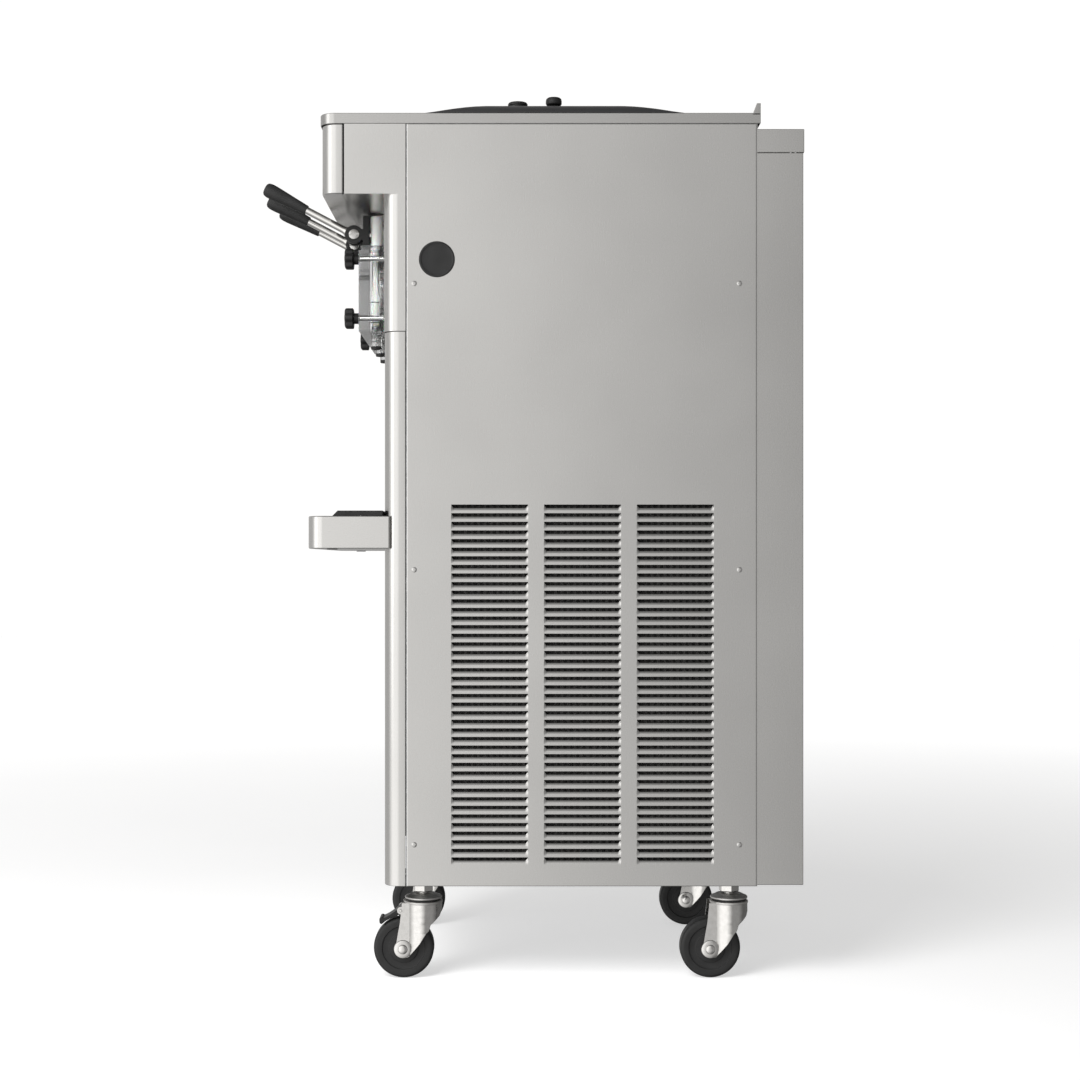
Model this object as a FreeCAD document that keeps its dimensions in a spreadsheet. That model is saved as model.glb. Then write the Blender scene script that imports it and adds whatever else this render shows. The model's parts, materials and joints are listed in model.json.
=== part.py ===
import FreeCAD, Part
import math
import os
import re

import Sketcher
from FreeCAD import Placement, Rotation, Vector

# Twin-flavour soft-serve ice cream maker on casters. Millimetres, +Z up, the front faces -Y.
# The origin is on the floor, under the middle of the machine's bounding box.
# Every "..._y" dimension counts from the front face of the body, which stands at "front".

DIMENSIONS = {
    # casing
    "front": -219.171,
    "body_width": 540,
    "body_bottom": 152.4,
    "body_top": 1335.3,
    "panel_seam_y": 36.4,
    "rear_seam_y": 581.3,
    "sheet": 1.5,
    "corner_radius": 24,
    "panel_step": 1.9,
    "column_bottom": 1013.4,
    "head_bottom": 1226.5,
    "mouth_gap": 0.3,
    "head_front_y": -95.5,
    "fascia_seam_y": -60.5,
    "cover_front_y": -98.4,
    "cover_rear_y": 586.4,
    "cover_top": 1351.8,
    "upstand_top": 1366.8,
    "upstand_base_y": 575,
    "upstand_tip_y": 581,
    "display_half_width": 110,
    "display_bottom": 1256,
    "display_top": 1308,
    "duct_half_width": 258,
    "duct_rear_y": 654.3,
    "duct_seam": 1293,
    "duct_cap_rear_y": 655.8,
    "duct_cap_top": 1329.6,
    "duct_slot_height": 6,
    "duct_slot_pitch": 12,
    "duct_slot_start": 4,
    # louvres, plugs and screws of the side panels
    "louvre_width": 118.9,
    "louvre_height": 6,
    "louvre_start_y": 106.6,
    "louvre_column_pitch": 143.9,
    "louvre_bottom": 194.7,
    "louvre_pitch": 13.34,
    "louvre_rows": 42,
    "plug_y": 84.2,
    "plug_height": 1124.7,
    "plug_radius": 28,
    "plug_barrel_radius": 17,
    "plug_barrel_length": 12,
    "plug_proud": 1.2,
    "screw_front_y": 49.1,
    "screw_rear_y": 553.4,
    "screw_low": 217,
    "screw_middle": 643.3,
    "screw_high": 1087.2,
    "screw_radius": 2.5,
    "screw_head_radius": 4.2,
    "screw_head": 1.2,
    # frame
    "pan_thickness": 3,
    "post_width": 30,
    "post_thickness": 2,
    "ring_bottom": 1320,
    "ring_width": 22,
    "shelf_height": 790,
    "shelf_thickness": 4,
    "fan_opening_radius": 146,
    "fan_height": 400,
    # hoppers and lids
    "hopper_inner_x": 40,
    "hopper_outer_x": 220,
    "hopper_front_y": 68,
    "hopper_rear_y": 468,
    "hopper_bottom": 1165,
    "rim_inner_x": 30,
    "rim_outer_x": 230,
    "rim_front_y": 58,
    "rim_rear_y": 478,
    "lid_edge": 9,
    "lid_rise": 23,
    "lid_sheet": 2,
    "lid_flat_inset_x": 55,
    "lid_flat_inset_y": 120,
    "knob_radius": 13,
    "knob_height": 25.5,
    "vent_offset_y": 58.5,
    "vent_radius": 16,
    "vent_height": 17,
    # freezing and drawing
    "barrel_x": 100,
    "barrel_height": 1097,
    "barrel_outer_radius": 58,
    "barrel_inner_radius": 52,
    "barrel_length": 380,
    "barrel_end": 6,
    "feed_radius": 10,
    "feed_y": 90,
    "shaft_radius": 8,
    "shaft_front_y": 6,
    "shaft_in_reducer": 40,
    "running_clearance": 0.05,
    "blade_inner_radius": 42,
    "blade_outer_radius": 50.5,
    "blade_thickness": 4,
    "blade_front_y": 14,
    "blade_end_gap": 8,
    "spoke_front_y": 24,
    "spoke_width": 8,
    "head_half_width": 165,
    "head_depth": 46.5,
    "head_low": 1027,
    "head_high": 1157,
    "head_centre_high": 1172,
    "head_centre_half_width": 122,
    "port_radius": 38,
    "port_depth": 14,
    "plunger_y": -22.9,
    "plunger_radius": 10,
    "plunger_low": 1040,
    "plunger_top": 1222.4,
    "plunger_hole_radius": 12.5,
    "plunger_slot_depth": 5,
    "plunger_slot_below": 13,
    "plunger_slot_above": 6,
    "neck_radius": 9,
    "neck_low": 1009,
    "nozzle_radius": 5,
    "nozzle_cap_low": 1004.4,
    "bore_end_gap": 6,
    "stud_x": 148,
    "stud_low": 1049,
    "stud_high": 1145,
    "stud_radius": 4,
    "star_radius": 17.5,
    "star_depth": 15,
    "star_neck_radius": 8.7,
    "star_front_y": -69.9,
    "star_cap": 5,
    "star_edge": 2.5,
    "star_lobes": 6,
    "stud_end_gap": 6,
    # levers
    "lever_x": 100,
    "lever_pivot_y": -58.7,
    "lever_middle_forward": 8,
    "lever_pivot_height": 1191.8,
    "lever_angle": 27.8,
    "lever_length": 166,
    "lever_hub_radius": 12,
    "lever_hub_half_width": 7.6,
    "lever_radius": 6,
    "lever_arm_half_width": 4,
    "lever_arm_thickness": 7,
    "grip_length": 76,
    "grip_inner_radius": 7.5,
    "grip_outer_radius": 12,
    "grip_cap": 6,
    "pin_radius": 4,
    "pin_head": 2,
    "ear_inner_x": 8,
    "ear_outer_x": 13,
    "ear_radius": 15,
    "ear_post_front_y": -44,
    "ear_post_rear_y": -34,
    # drip tray
    "tray_front_y": -117.2,
    "tray_low": 676.1,
    "tray_high": 726.9,
    "tray_sheet": 2,
    "grid_front_y": -79,
    "grid_height": 8.5,
    "grid_half_width": 262,
    "grid_slot_width": 7,
    "grid_slot_pitch": 13,
    "grid_slots": 39,
    # drive
    "reducer_front_y": 400,
    "reducer_rear_y": 500,
    "reducer_half_width": 48,
    "reducer_half_height": 56,
    "reducer_collar_radius": 30,
    "reducer_shaft_depth": 45,
    "motor_height": 880,
    "motor_radius": 76,
    "motor_front_y": 270,
    "motor_rear_y": 500,
    "motor_shaft_radius": 10,
    "motor_shaft_depth": 38,
    "motor_foot_inset": 30,
    "motor_pulley_radius": 45,
    "reducer_pulley_radius": 60,
    "flange_height": 8,
    "flange_thickness": 2,
    "belt_thickness": 6,
    "belt_width": 9,
    "belt_clearance": 0.3,
    "groove_width": 10,
    "groove_right_y": 516,
    "groove_left_y": 534,
    # refrigeration
    "compressor_x": -130,
    "compressor_y": 200,
    "compressor_radius": 85,
    "compressor_height": 250,
    "condenser_front_y": 430,
    "condenser_rear_y": 495,
    "condenser_half_width": 190,
    "condenser_bottom": 215,
    "condenser_top": 585,
    "condenser_leg": 12,
    "fan_motor_radius": 34,
    "fan_motor_rear_y": 528,
    "fan_front_y": 532,
    "fan_rear_y": 566,
    "fan_hub_radius": 40,
    "fan_radius": 140,
    "fan_blades": 6,
    "fan_blade_thickness": 2.5,
    "fan_blade_tilt": 32,
    "fan_blade_half_chord": 22,
    # casters
    "caster_x": 210,
    "caster_front_y": 60.3,
    "caster_rear_y": 543.6,
    "caster_trail": 30.5,
    "race_top": 132,
    "race_bottom": 117,
    "race_radius": 28,
    "stem_radius": 7,
    "fork_thickness": 3.5,
    "fork_clearance": 1.8,
    "fork_shoulder": 8,
    "fork_waist": 22,
    "wheel_radius": 47.5,
    "wheel_half_width": 14.5,
    "axle_radius": 5,
    "axle_overhang": 3,
    "fork_boss_radius": 15,
    "pedal_half_width": 16,
    "pedal_hinge_forward": 33,
    "pedal_hinge_drop": 10,
    "pedal_hub_radius": 5,
    "pedal_length": 39,
    "pedal_thickness": 4,
    "pedal_lip_radius": 3.5,
    "pedal_tilt": 24,
    # mains inlet
    "gland_y": 545,
    "gland_radius": 14,
    "gland_bore_radius": 6,
    "gland_drop": 14,
}

doc = FreeCAD.newDocument("IceCreamMaker")
sheet = doc.addObject("Spreadsheet::Sheet", "dims")
for row, (alias, value) in enumerate(DIMENSIONS.items(), start=1):
    sheet.set(f"A{row}", alias)
    sheet.set(f"B{row}", str(value))
    sheet.setAlias(f"B{row}", alias)
doc.recompute()

ALIASES = re.compile(r"\b(" + "|".join(DIMENSIONS) + r")\b")
HALF = "body_width / 2"
INSIDE = "(body_width / 2 - sheet)"
SIDES = {"right": 1, "left": -1}
sub_parts = []


# ---------------------------------------------------------------- helpers

def bind(obj, prop, expression):
    """Tie a property to the sheet; the expression names the aliases only."""
    obj.setExpression(prop, ALIASES.sub(r"dims.\1", str(expression)))


def size(alias):
    """A driving dimension's value, for the few shapes that are made in code."""
    return float(sheet.get(alias))


def keep(obj, label):
    """Register an object of the document as one sub-part."""
    obj.Label = label
    sub_parts.append(obj)
    return obj


def place(obj, x=0, y=0, z=0):
    for axis, expression in zip("xyz", (x, y, z)):
        bind(obj, f"Placement.Base.{axis}", expression)
    return obj


def behind(offset):
    """The Y of a point at this distance behind the body's front face."""
    return f"(front + {offset})"


def span(side, near, far):
    """An X range from near to far on one side of the middle plane."""
    return (near, far) if side > 0 else (f"-({far})", f"-({near})")


def box(name, x, y, z):
    obj = doc.addObject("Part::Box", name)
    for prop, (low, high) in zip(("Length", "Width", "Height"), (x, y, z)):
        bind(obj, prop, f"({high}) - ({low})")
    return place(obj, x[0], y[0], z[0])


TURNS = {
    "x": Rotation(Vector(0, 1, 0), 90),
    "y": Rotation(Vector(1, 0, 0), -90),
    "z": Rotation(),
}


def cylinder(name, axis, start, radius, length):
    obj = doc.addObject("Part::Cylinder", name)
    obj.Placement = Placement(Vector(), TURNS[axis])
    bind(obj, "Radius", radius)
    bind(obj, "Height", length)
    return place(obj, *start)


def fuse(name, *pieces):
    obj = doc.addObject("Part::MultiFuse", name)
    obj.Shapes = list(pieces)
    return obj


def cut(name, base, *tools):
    obj = doc.addObject("Part::Cut", name)
    obj.Base = base
    obj.Tool = tools[0] if len(tools) == 1 else fuse(name + "_tools", *tools)
    return obj


def group(name, *pieces):
    """Several separate solids as one object."""
    obj = doc.addObject("Part::Compound", name)
    obj.Links = list(pieces)
    return obj


def new_body(name):
    return doc.addObject("PartDesign::Body", name)


def origin_feature(body, role):
    return next(f for f in body.Origin.OriginFeatures if f.Role == role)


def new_sketch(body, name, role, offset=0):
    obj = body.newObject("Sketcher::SketchObject", name)
    obj.AttachmentSupport = [(origin_feature(body, role), "")]
    obj.MapMode = "FlatFace"
    bind(obj, "AttachmentOffset.Base.z", offset)
    return obj


def fix_point(sketch, geometry, vertex, across, up):
    """Dimension one vertex from the sketch's origin."""
    for kind, expression in (("DistanceX", across), ("DistanceY", up)):
        index = sketch.addConstraint(Sketcher.Constraint(kind, -1, 1, geometry, vertex, 1.0))
        bind(sketch, f"Constraints[{index}]", expression)


def polygon(sketch, *corners):
    """A closed outline whose corners are dimensioned from the origin."""
    count = len(corners)
    ring = [Vector(math.cos(2 * math.pi * i / count), math.sin(2 * math.pi * i / count), 0)
            for i in range(count)]
    first = sketch.GeometryCount
    for i in range(count):
        sketch.addGeometry(Part.LineSegment(ring[i], ring[(i + 1) % count]), False)
    for i in range(count):
        following = first + (i + 1) % count
        sketch.addConstraint(Sketcher.Constraint("Coincident", first + i, 2, following, 1))
    for i, (across, up) in enumerate(corners):
        fix_point(sketch, first + i, 1, across, up)


def rectangle(sketch, across, up):
    polygon(sketch, (across[0], up[0]), (across[1], up[0]), (across[1], up[1]), (across[0], up[1]))


def circle(sketch, across, up, radius):
    index = sketch.addGeometry(Part.Circle(Vector(), Vector(0, 0, 1), 1.0), False)
    fix_point(sketch, index, 3, across, up)
    constraint = sketch.addConstraint(Sketcher.Constraint("Radius", index, 1.0))
    bind(sketch, f"Constraints[{constraint}]", radius)


def pad(body, name, sketch, length):
    obj = body.newObject("PartDesign::Pad", name)
    obj.Profile = sketch
    bind(obj, "Length", length)
    sketch.Visibility = False
    return obj


def pocket(body, name, sketch, length, along_normal=True):
    """Cut material; along_normal cuts on the side that the sketch's normal points to."""
    doc.recompute()
    before = body.Shape.Volume
    obj = body.newObject("PartDesign::Pocket", name)
    obj.Profile = sketch
    bind(obj, "Length", length)
    obj.Reversed = along_normal
    doc.recompute()
    if obj.Shape.Volume > before - 1e-3:
        raise RuntimeError(f"{body.Name}.{name} cuts nothing")
    return obj


def revolve(body, name, sketch):
    """Turn a profile, drawn with radius across and height up, about the upright axis."""
    obj = body.newObject("PartDesign::Revolution", name)
    obj.Profile = sketch
    obj.ReferenceAxis = (sketch, ["V_Axis"])
    obj.Angle = 360
    return obj


def linear_pattern(body, name, feature, role, length, count):
    obj = body.newObject("PartDesign::LinearPattern", name)
    obj.Originals = [feature]
    obj.Direction = (origin_feature(body, role), [""])
    bind(obj, "Length", length)
    bind(obj, "Occurrences", count)
    body.Tip = obj
    return obj


def polar_pattern(body, name, feature, role, count):
    obj = body.newObject("PartDesign::PolarPattern", name)
    obj.Originals = [feature]
    obj.Axis = (origin_feature(body, role), [""])
    obj.Angle = 360
    bind(obj, "Occurrences", count)
    body.Tip = obj
    return obj


def fillet(body, name, feature, radius, wanted):
    """Round the feature's edges for which wanted(edge) is true."""
    doc.recompute()
    names = [f"Edge{i}" for i, edge in enumerate(feature.Shape.Edges, start=1) if wanted(edge)]
    if not names:
        raise RuntimeError(f"{body.Name}.{name} finds no edges")
    obj = body.newObject("PartDesign::Fillet", name)
    obj.Base = (feature, names)
    bind(obj, "Radius", radius)
    return obj


def shell(body, name, feature, thickness, open_side):
    """Hollow the feature inwards, leaving out the faces for which open_side(face) is true."""
    doc.recompute()
    names = [f"Face{i}" for i, face in enumerate(feature.Shape.Faces, start=1) if open_side(face)]
    obj = body.newObject("PartDesign::Thickness", name)
    obj.Base = (feature, names)
    bind(obj, "Value", thickness)
    obj.Reversed = True
    doc.recompute()
    if not 0 < obj.Shape.Volume < feature.Shape.Volume:
        raise RuntimeError(f"{body.Name}.{name} hollows nothing")
    return obj


def faces_towards(*directions):
    """A test for flat faces whose outward normal is one of the directions."""
    def test(face):
        if face.Surface.TypeId != "Part::GeomPlane":
            return False
        normal = face.normalAt(0, 0)
        return any(normal.dot(Vector(*d)) > 0.99 for d in directions)
    return test


def upright_edge(y):
    """A test for vertical edges at this Y."""
    def test(edge):
        ends = [vertex.Point for vertex in edge.Vertexes]
        return (len(ends) == 2 and abs(ends[0].z - ends[1].z) > 1
                and all(abs(point.y - y) < 0.01 for point in ends)
                and abs(ends[0].x - ends[1].x) < 0.01)
    return test


# ---------------------------------------------------------------- casing and frame

def base_pan():
    pan = box("pan_plate", (f"-{INSIDE}", INSIDE), (behind("panel_seam_y"), behind("rear_seam_y - sheet")),
              ("body_bottom", "body_bottom + pan_thickness"))
    hole = cylinder("pan_gland_hole", "z", (0, behind("gland_y"), "body_bottom - 1"),
                    "gland_bore_radius + 3", "pan_thickness + 2")
    keep(cut("base_pan_drilled", pan, hole), "base_pan")


def frame():
    """Four angle posts, a ring round their tops and a shelf for the motor, welded together."""
    low = "body_bottom + pan_thickness"
    pieces = []
    ends = {"front": ("panel_seam_y", "panel_seam_y + post_width"),
            "rear": ("rear_seam_y - sheet - post_width", "rear_seam_y - sheet")}
    for side_name, side in SIDES.items():
        for end_name, (start, end) in ends.items():
            tag = f"post_{end_name}_{side_name}"
            outer = box(tag + "_outer", span(side, f"{INSIDE} - post_width", INSIDE),
                        (behind(start), behind(end)), (low, "ring_bottom"))
            shift = "post_thickness" if end_name == "front" else "-post_thickness"
            inner = box(tag + "_inner", span(side, f"{INSIDE} - post_width - 1",
                                             f"{INSIDE} - post_thickness"),
                        (behind(f"{start} + {shift}"), behind(f"{end} + {shift}")),
                        ("body_bottom", "ring_bottom + 1"))
            pieces.append(cut(tag, outer, inner))
    ring_y = (behind("panel_seam_y"), behind("rear_seam_y - sheet"))
    outer = box("ring_outer", (f"-{INSIDE}", INSIDE), ring_y, ("ring_bottom", "body_top"))
    inner = box("ring_inner", (f"-({INSIDE} - ring_width)", f"{INSIDE} - ring_width"),
                (f"{ring_y[0]} + ring_width", f"{ring_y[1]} - ring_width"),
                ("ring_bottom - 1", "body_top + 1"))
    pieces.append(cut("ring", outer, inner))
    pieces.append(box("shelf", (f"-{INSIDE}", INSIDE), (f"{ring_y[0]} + 10", f"{ring_y[1]} - 10"),
                      ("shelf_height", "shelf_height + shelf_thickness")))
    keep(fuse("frame_welded", *pieces), "frame")


def side_panel(side_name, side):
    """A flat sheet with three columns of louvre slots, a plug hole and six screw holes."""
    label = f"side_panel_{side_name}"
    body = new_body(label)
    outline = new_sketch(body, label + "_outline", "YZ_Plane")
    rectangle(outline, (behind("panel_seam_y"), behind("rear_seam_y")), ("body_bottom", "body_top"))
    pad(body, label + "_sheet", outline, "sheet")
    holes = new_sketch(body, label + "_holes", "YZ_Plane")
    circle(holes, behind("plug_y"), "plug_height", "plug_barrel_radius")
    for across in ("screw_front_y", "screw_rear_y"):
        for up in ("screw_low", "screw_middle", "screw_high"):
            circle(holes, behind(across), up, "screw_radius")
    pocket(body, label + "_drilling", holes, "sheet")
    slots = new_sketch(body, label + "_slots", "YZ_Plane")
    for column in range(3):
        start = f"(front + louvre_start_y + {column} * louvre_column_pitch)"
        rectangle(slots, (start, f"{start} + louvre_width"),
                  ("louvre_bottom - louvre_height / 2", "louvre_bottom + louvre_height / 2"))
    row = pocket(body, label + "_row", slots, "sheet")
    linear_pattern(body, label + "_louvres", row, "Z_Axis", "louvre_pitch * (louvre_rows - 1)", "louvre_rows")
    place(body, x=f"{HALF} - sheet" if side > 0 else f"-{HALF}")
    keep(body, label)


def lower_front_panel():
    """A sheet that wraps round both front corners below the freezing head."""
    body = new_body("lower_front_panel")
    outline = new_sketch(body, "lower_front_outline", "XY_Plane", "body_bottom")
    rectangle(outline, (f"-{HALF}", HALF), (behind("panel_step"), behind("panel_seam_y")))
    block = pad(body, "lower_front_block", outline, "column_bottom - body_bottom")
    rounded = fillet(body, "lower_front_corners", block, "corner_radius",
                     upright_edge(size("front") + size("panel_step")))
    shell(body, "lower_front_sheet", rounded, "sheet", faces_towards((0, 0, 1), (0, 0, -1), (0, 1, 0)))
    keep(body, "lower_front_panel")


def head_housing():
    """The upper column and the hood that overhangs it, pressed as one shell."""
    body = new_body("head_housing")
    outline = new_sketch(body, "head_outline", "YZ_Plane", f"-{HALF}")
    hood, column, rear = behind("fascia_seam_y"), behind(0), behind("panel_seam_y")
    polygon(outline, (hood, "head_bottom"), (column, "head_bottom"), (column, "column_bottom"),
            (rear, "column_bottom"), (rear, "body_top"), (hood, "body_top"))
    block = pad(body, "head_block", outline, "body_width")
    rounded = fillet(body, "head_corners", block, "corner_radius", upright_edge(size("front")))
    shell(body, "head_sheet", rounded, "sheet", head_openings)
    mouths = new_sketch(body, "head_mouths", "XZ_Plane", f"-{behind('sheet * 2')}")
    for side in SIDES.values():
        circle(mouths, f"{side} * barrel_x", "barrel_height", "barrel_outer_radius + mouth_gap")
    pocket(body, "head_mouth_cut", mouths, "sheet * 4")
    wells = new_sketch(body, "head_wells", "XY_Plane", "head_bottom - sheet")
    for step in (-1, 0, 1):
        circle(wells, f"{step} * lever_x", behind("plunger_y"), "plunger_hole_radius")
    pocket(body, "head_well_cut", wells, "sheet * 3")
    keep(body, "head_housing")


def head_openings(face):
    """The hood is open at its top, front and rear, and the column at its foot and rear."""
    if face.Surface.TypeId != "Part::GeomPlane":
        return False
    normal = face.normalAt(0, 0)
    bounds = face.BoundBox
    if abs(normal.z) > 0.99:
        return bounds.ZMin > size("body_top") - 1 or bounds.ZMin < size("column_bottom") + 1
    if abs(normal.y) > 0.99:
        return bounds.YMin > size("front") + 1 or bounds.YMin < size("front") - 1
    return False


def control_fascia():
    """The hood's front cap, with a window for the control display."""
    body = new_body("control_fascia")
    outline = new_sketch(body, "fascia_outline", "XY_Plane", "head_bottom")
    rectangle(outline, (f"-{HALF}", HALF), (behind("head_front_y"), behind("fascia_seam_y")))
    block = pad(body, "fascia_block", outline, "body_top - head_bottom")
    rounded = fillet(body, "fascia_corners", block, "corner_radius",
                     upright_edge(size("front") + size("head_front_y")))
    shell(body, "fascia_sheet", rounded, "sheet", faces_towards((0, 1, 0)))
    window = new_sketch(body, "fascia_window", "XZ_Plane", f"-{behind('head_front_y + sheet * 2')}")
    rectangle(window, ("-display_half_width", "display_half_width"), ("display_bottom", "display_top"))
    pocket(body, "fascia_window_cut", window, "sheet * 3")
    keep(body, "control_fascia")


def display_panel():
    glass = box("display_glass", ("-display_half_width", "display_half_width"),
                (behind("head_front_y - 0.6"), behind("head_front_y + 4")), ("display_bottom", "display_top"))
    carrier = box("display_carrier", ("-(display_half_width + 12)", "display_half_width + 12"),
                  (behind("head_front_y + sheet"), behind("head_front_y + 8")),
                  ("display_bottom - 10", "display_top + 10"))
    keep(fuse("display_joined", glass, carrier), "display_panel")


def top_cover():
    """The lid of the casing: hopper mouths in its top and an upstand along its rear edge."""
    body = new_body("top_cover")
    outline = new_sketch(body, "cover_outline", "XY_Plane", "body_top")
    rectangle(outline, (f"-{HALF}", HALF), (behind("cover_front_y"), behind("cover_rear_y")))
    block = pad(body, "cover_block", outline, "cover_top - body_top")
    rounded = fillet(body, "cover_corners", block, "corner_radius",
                     upright_edge(size("front") + size("cover_front_y")))
    shell(body, "cover_sheet", rounded, "sheet", faces_towards((0, 0, -1)))
    mouths = new_sketch(body, "cover_mouths", "XY_Plane", "cover_top - sheet * 2")
    for side in SIDES.values():
        rectangle(mouths, span(side, "hopper_inner_x - 0.5", "hopper_outer_x + 0.5"),
                  (behind("hopper_front_y - 0.5"), behind("hopper_rear_y + 0.5")))
    pocket(body, "cover_mouth_cut", mouths, "sheet * 3")
    wall = new_sketch(body, "cover_upstand_foot", "XY_Plane", "cover_top - sheet")
    rectangle(wall, (f"-{HALF}", HALF), (behind("cover_rear_y - sheet"), behind("cover_rear_y")))
    pad(body, "cover_upstand", wall, "upstand_top - cover_top + sheet")
    for side_name, offset in (("right", f"{HALF} - sheet"), ("left", f"-{HALF}")):
        gusset = new_sketch(body, f"cover_gusset_{side_name}_outline", "YZ_Plane", offset)
        rear = behind("cover_rear_y - sheet / 2")
        polygon(gusset, (behind("upstand_base_y"), "cover_top - sheet / 2"), (rear, "cover_top - sheet / 2"),
                (rear, "upstand_top"), (behind("upstand_tip_y"), "upstand_top"))
        pad(body, f"cover_gusset_{side_name}", gusset, "sheet")
    keep(body, "top_cover")


def back_panel():
    plate = box("back_plate", (f"-{INSIDE}", INSIDE), (behind("rear_seam_y - sheet"), behind("rear_seam_y")),
                ("body_bottom", "body_top"))
    opening = cylinder("back_fan_opening", "y", (0, behind("rear_seam_y - 10"), "fan_height"),
                       "fan_opening_radius", 20)
    keep(cut("back_plate_cut", plate, opening), "back_panel")


def rear_duct():
    """The exhaust chimney on the back and, as a second solid, its slotted cap."""
    wall = "(duct_half_width - sheet)"
    chimney = cut(
        "duct_chimney",
        box("duct_outer", ("-duct_half_width", "duct_half_width"),
            (behind("rear_seam_y"), behind("duct_rear_y")),
            ("body_bottom", "duct_seam")),
        box("duct_inner", (f"-{wall}", wall), (behind("rear_seam_y - 1"), behind("duct_rear_y - sheet")),
            ("body_bottom + sheet", "duct_seam + 1")))
    slots = [box(f"duct_slot_{i}", ("-duct_half_width * 0.85", "duct_half_width * 0.85"),
                 (behind("duct_rear_y - 5"), behind("duct_cap_rear_y + 1")),
                 (f"duct_seam + duct_slot_start + {i} * duct_slot_pitch",
                  f"duct_seam + duct_slot_start + duct_slot_height + {i} * duct_slot_pitch"))
             for i in range(3)]
    cap = cut(
        "duct_cap",
        box("cap_outer", ("-duct_half_width", "duct_half_width"),
            (behind("rear_seam_y"), behind("duct_cap_rear_y")),
            ("duct_seam", "duct_cap_top")),
        box("cap_inner", (f"-{wall}", wall), (behind("rear_seam_y - 1"), behind("duct_cap_rear_y - sheet")),
            ("duct_seam - 1", "duct_cap_top - sheet")),
        *slots)
    keep(group("rear_duct_pieces", chimney, cap), "rear_duct")


def side_plugs():
    """One pressed plug in each side panel: a rimmed disc outside and a barrel through the sheet."""
    plugs = []
    for side_name, side in SIDES.items():
        start = HALF if side > 0 else f"-({HALF} + plug_proud)"
        disc = cylinder(f"plug_disc_{side_name}", "x", (start, behind("plug_y"), "plug_height"),
                        "plug_radius", "plug_proud")
        start = f"{HALF} - plug_barrel_length" if side > 0 else f"-{HALF}"
        barrel = cylinder(f"plug_barrel_{side_name}", "x", (start, behind("plug_y"), "plug_height"),
                          "plug_barrel_radius", "plug_barrel_length")
        plugs.append(fuse(f"plug_{side_name}", disc, barrel))
    keep(group("side_plug_pair", *plugs), "side_plugs")


def panel_screws():
    screws = []
    for side_name, side in SIDES.items():
        for i, across in enumerate(("screw_front_y", "screw_rear_y")):
            for j, up in enumerate(("screw_low", "screw_middle", "screw_high")):
                tag = f"screw_{side_name}_{i}{j}"
                start = HALF if side > 0 else f"-({HALF} + screw_head)"
                head = cylinder(tag + "_head", "x", (start, behind(across), up), "screw_head_radius",
                                "screw_head")
                start = f"{HALF} - sheet" if side > 0 else f"-{HALF}"
                shank = cylinder(tag + "_shank", "x", (start, behind(across), up), "screw_radius", "sheet")
                screws.append(fuse(tag, head, shank))
    keep(group("screw_set", *screws), "panel_screws")


def cable_gland():
    """The mains inlet below the base pan, with its bore open for a lead."""
    outer = cylinder("gland_outer", "z", (0, behind("gland_y"), "body_bottom - gland_drop"), "gland_radius",
                     "gland_drop")
    bore = cylinder("gland_bore", "z", (0, behind("gland_y"), "body_bottom - gland_drop - 1"),
                    "gland_bore_radius", "gland_drop + 2")
    keep(cut("gland_ring", outer, bore), "cable_gland")


base_pan()
frame()
for side_name, side in SIDES.items():
    side_panel(side_name, side)
lower_front_panel()
head_housing()
control_fascia()
display_panel()
top_cover()
back_panel()
rear_duct()
side_plugs()
panel_screws()
cable_gland()


# ---------------------------------------------------------------- mix hoppers and freezing

def mix_hoppers():
    """Two open tanks hung by their flanges in the cover, each with a feed spout."""
    hoppers = []
    rim_low, rim_high = "cover_top", "cover_top + sheet"
    for side_name, side in SIDES.items():
        tag = f"hopper_{side_name}"
        tank = box(tag + "_outer", span(side, "hopper_inner_x", "hopper_outer_x"),
                   (behind("hopper_front_y"), behind("hopper_rear_y")), ("hopper_bottom", rim_high))
        flange = box(tag + "_flange", span(side, "rim_inner_x", "rim_outer_x"),
                     (behind("rim_front_y"), behind("rim_rear_y")), (rim_low, rim_high))
        spout_low = "barrel_height + barrel_outer_radius + 0.5"
        spout = cylinder(tag + "_spout", "z", (f"{side} * barrel_x", behind("feed_y"), spout_low),
                         "feed_radius + 2", f"hopper_bottom - ({spout_low}) + sheet")
        inner = box(tag + "_inner", span(side, "hopper_inner_x + sheet", "hopper_outer_x - sheet"),
                    (behind("hopper_front_y + sheet"), behind("hopper_rear_y - sheet")),
                    ("hopper_bottom + sheet", "cover_top + sheet * 2"))
        drain = cylinder(tag + "_drain", "z", (f"{side} * barrel_x", behind("feed_y"), f"{spout_low} - 1"),
                         "feed_radius", "hopper_bottom - barrel_height")
        hoppers.append(cut(tag, fuse(tag + "_skin", tank, flange, spout), inner, drain))
    keep(group("hopper_pair", *hoppers), "mix_hoppers")


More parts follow.
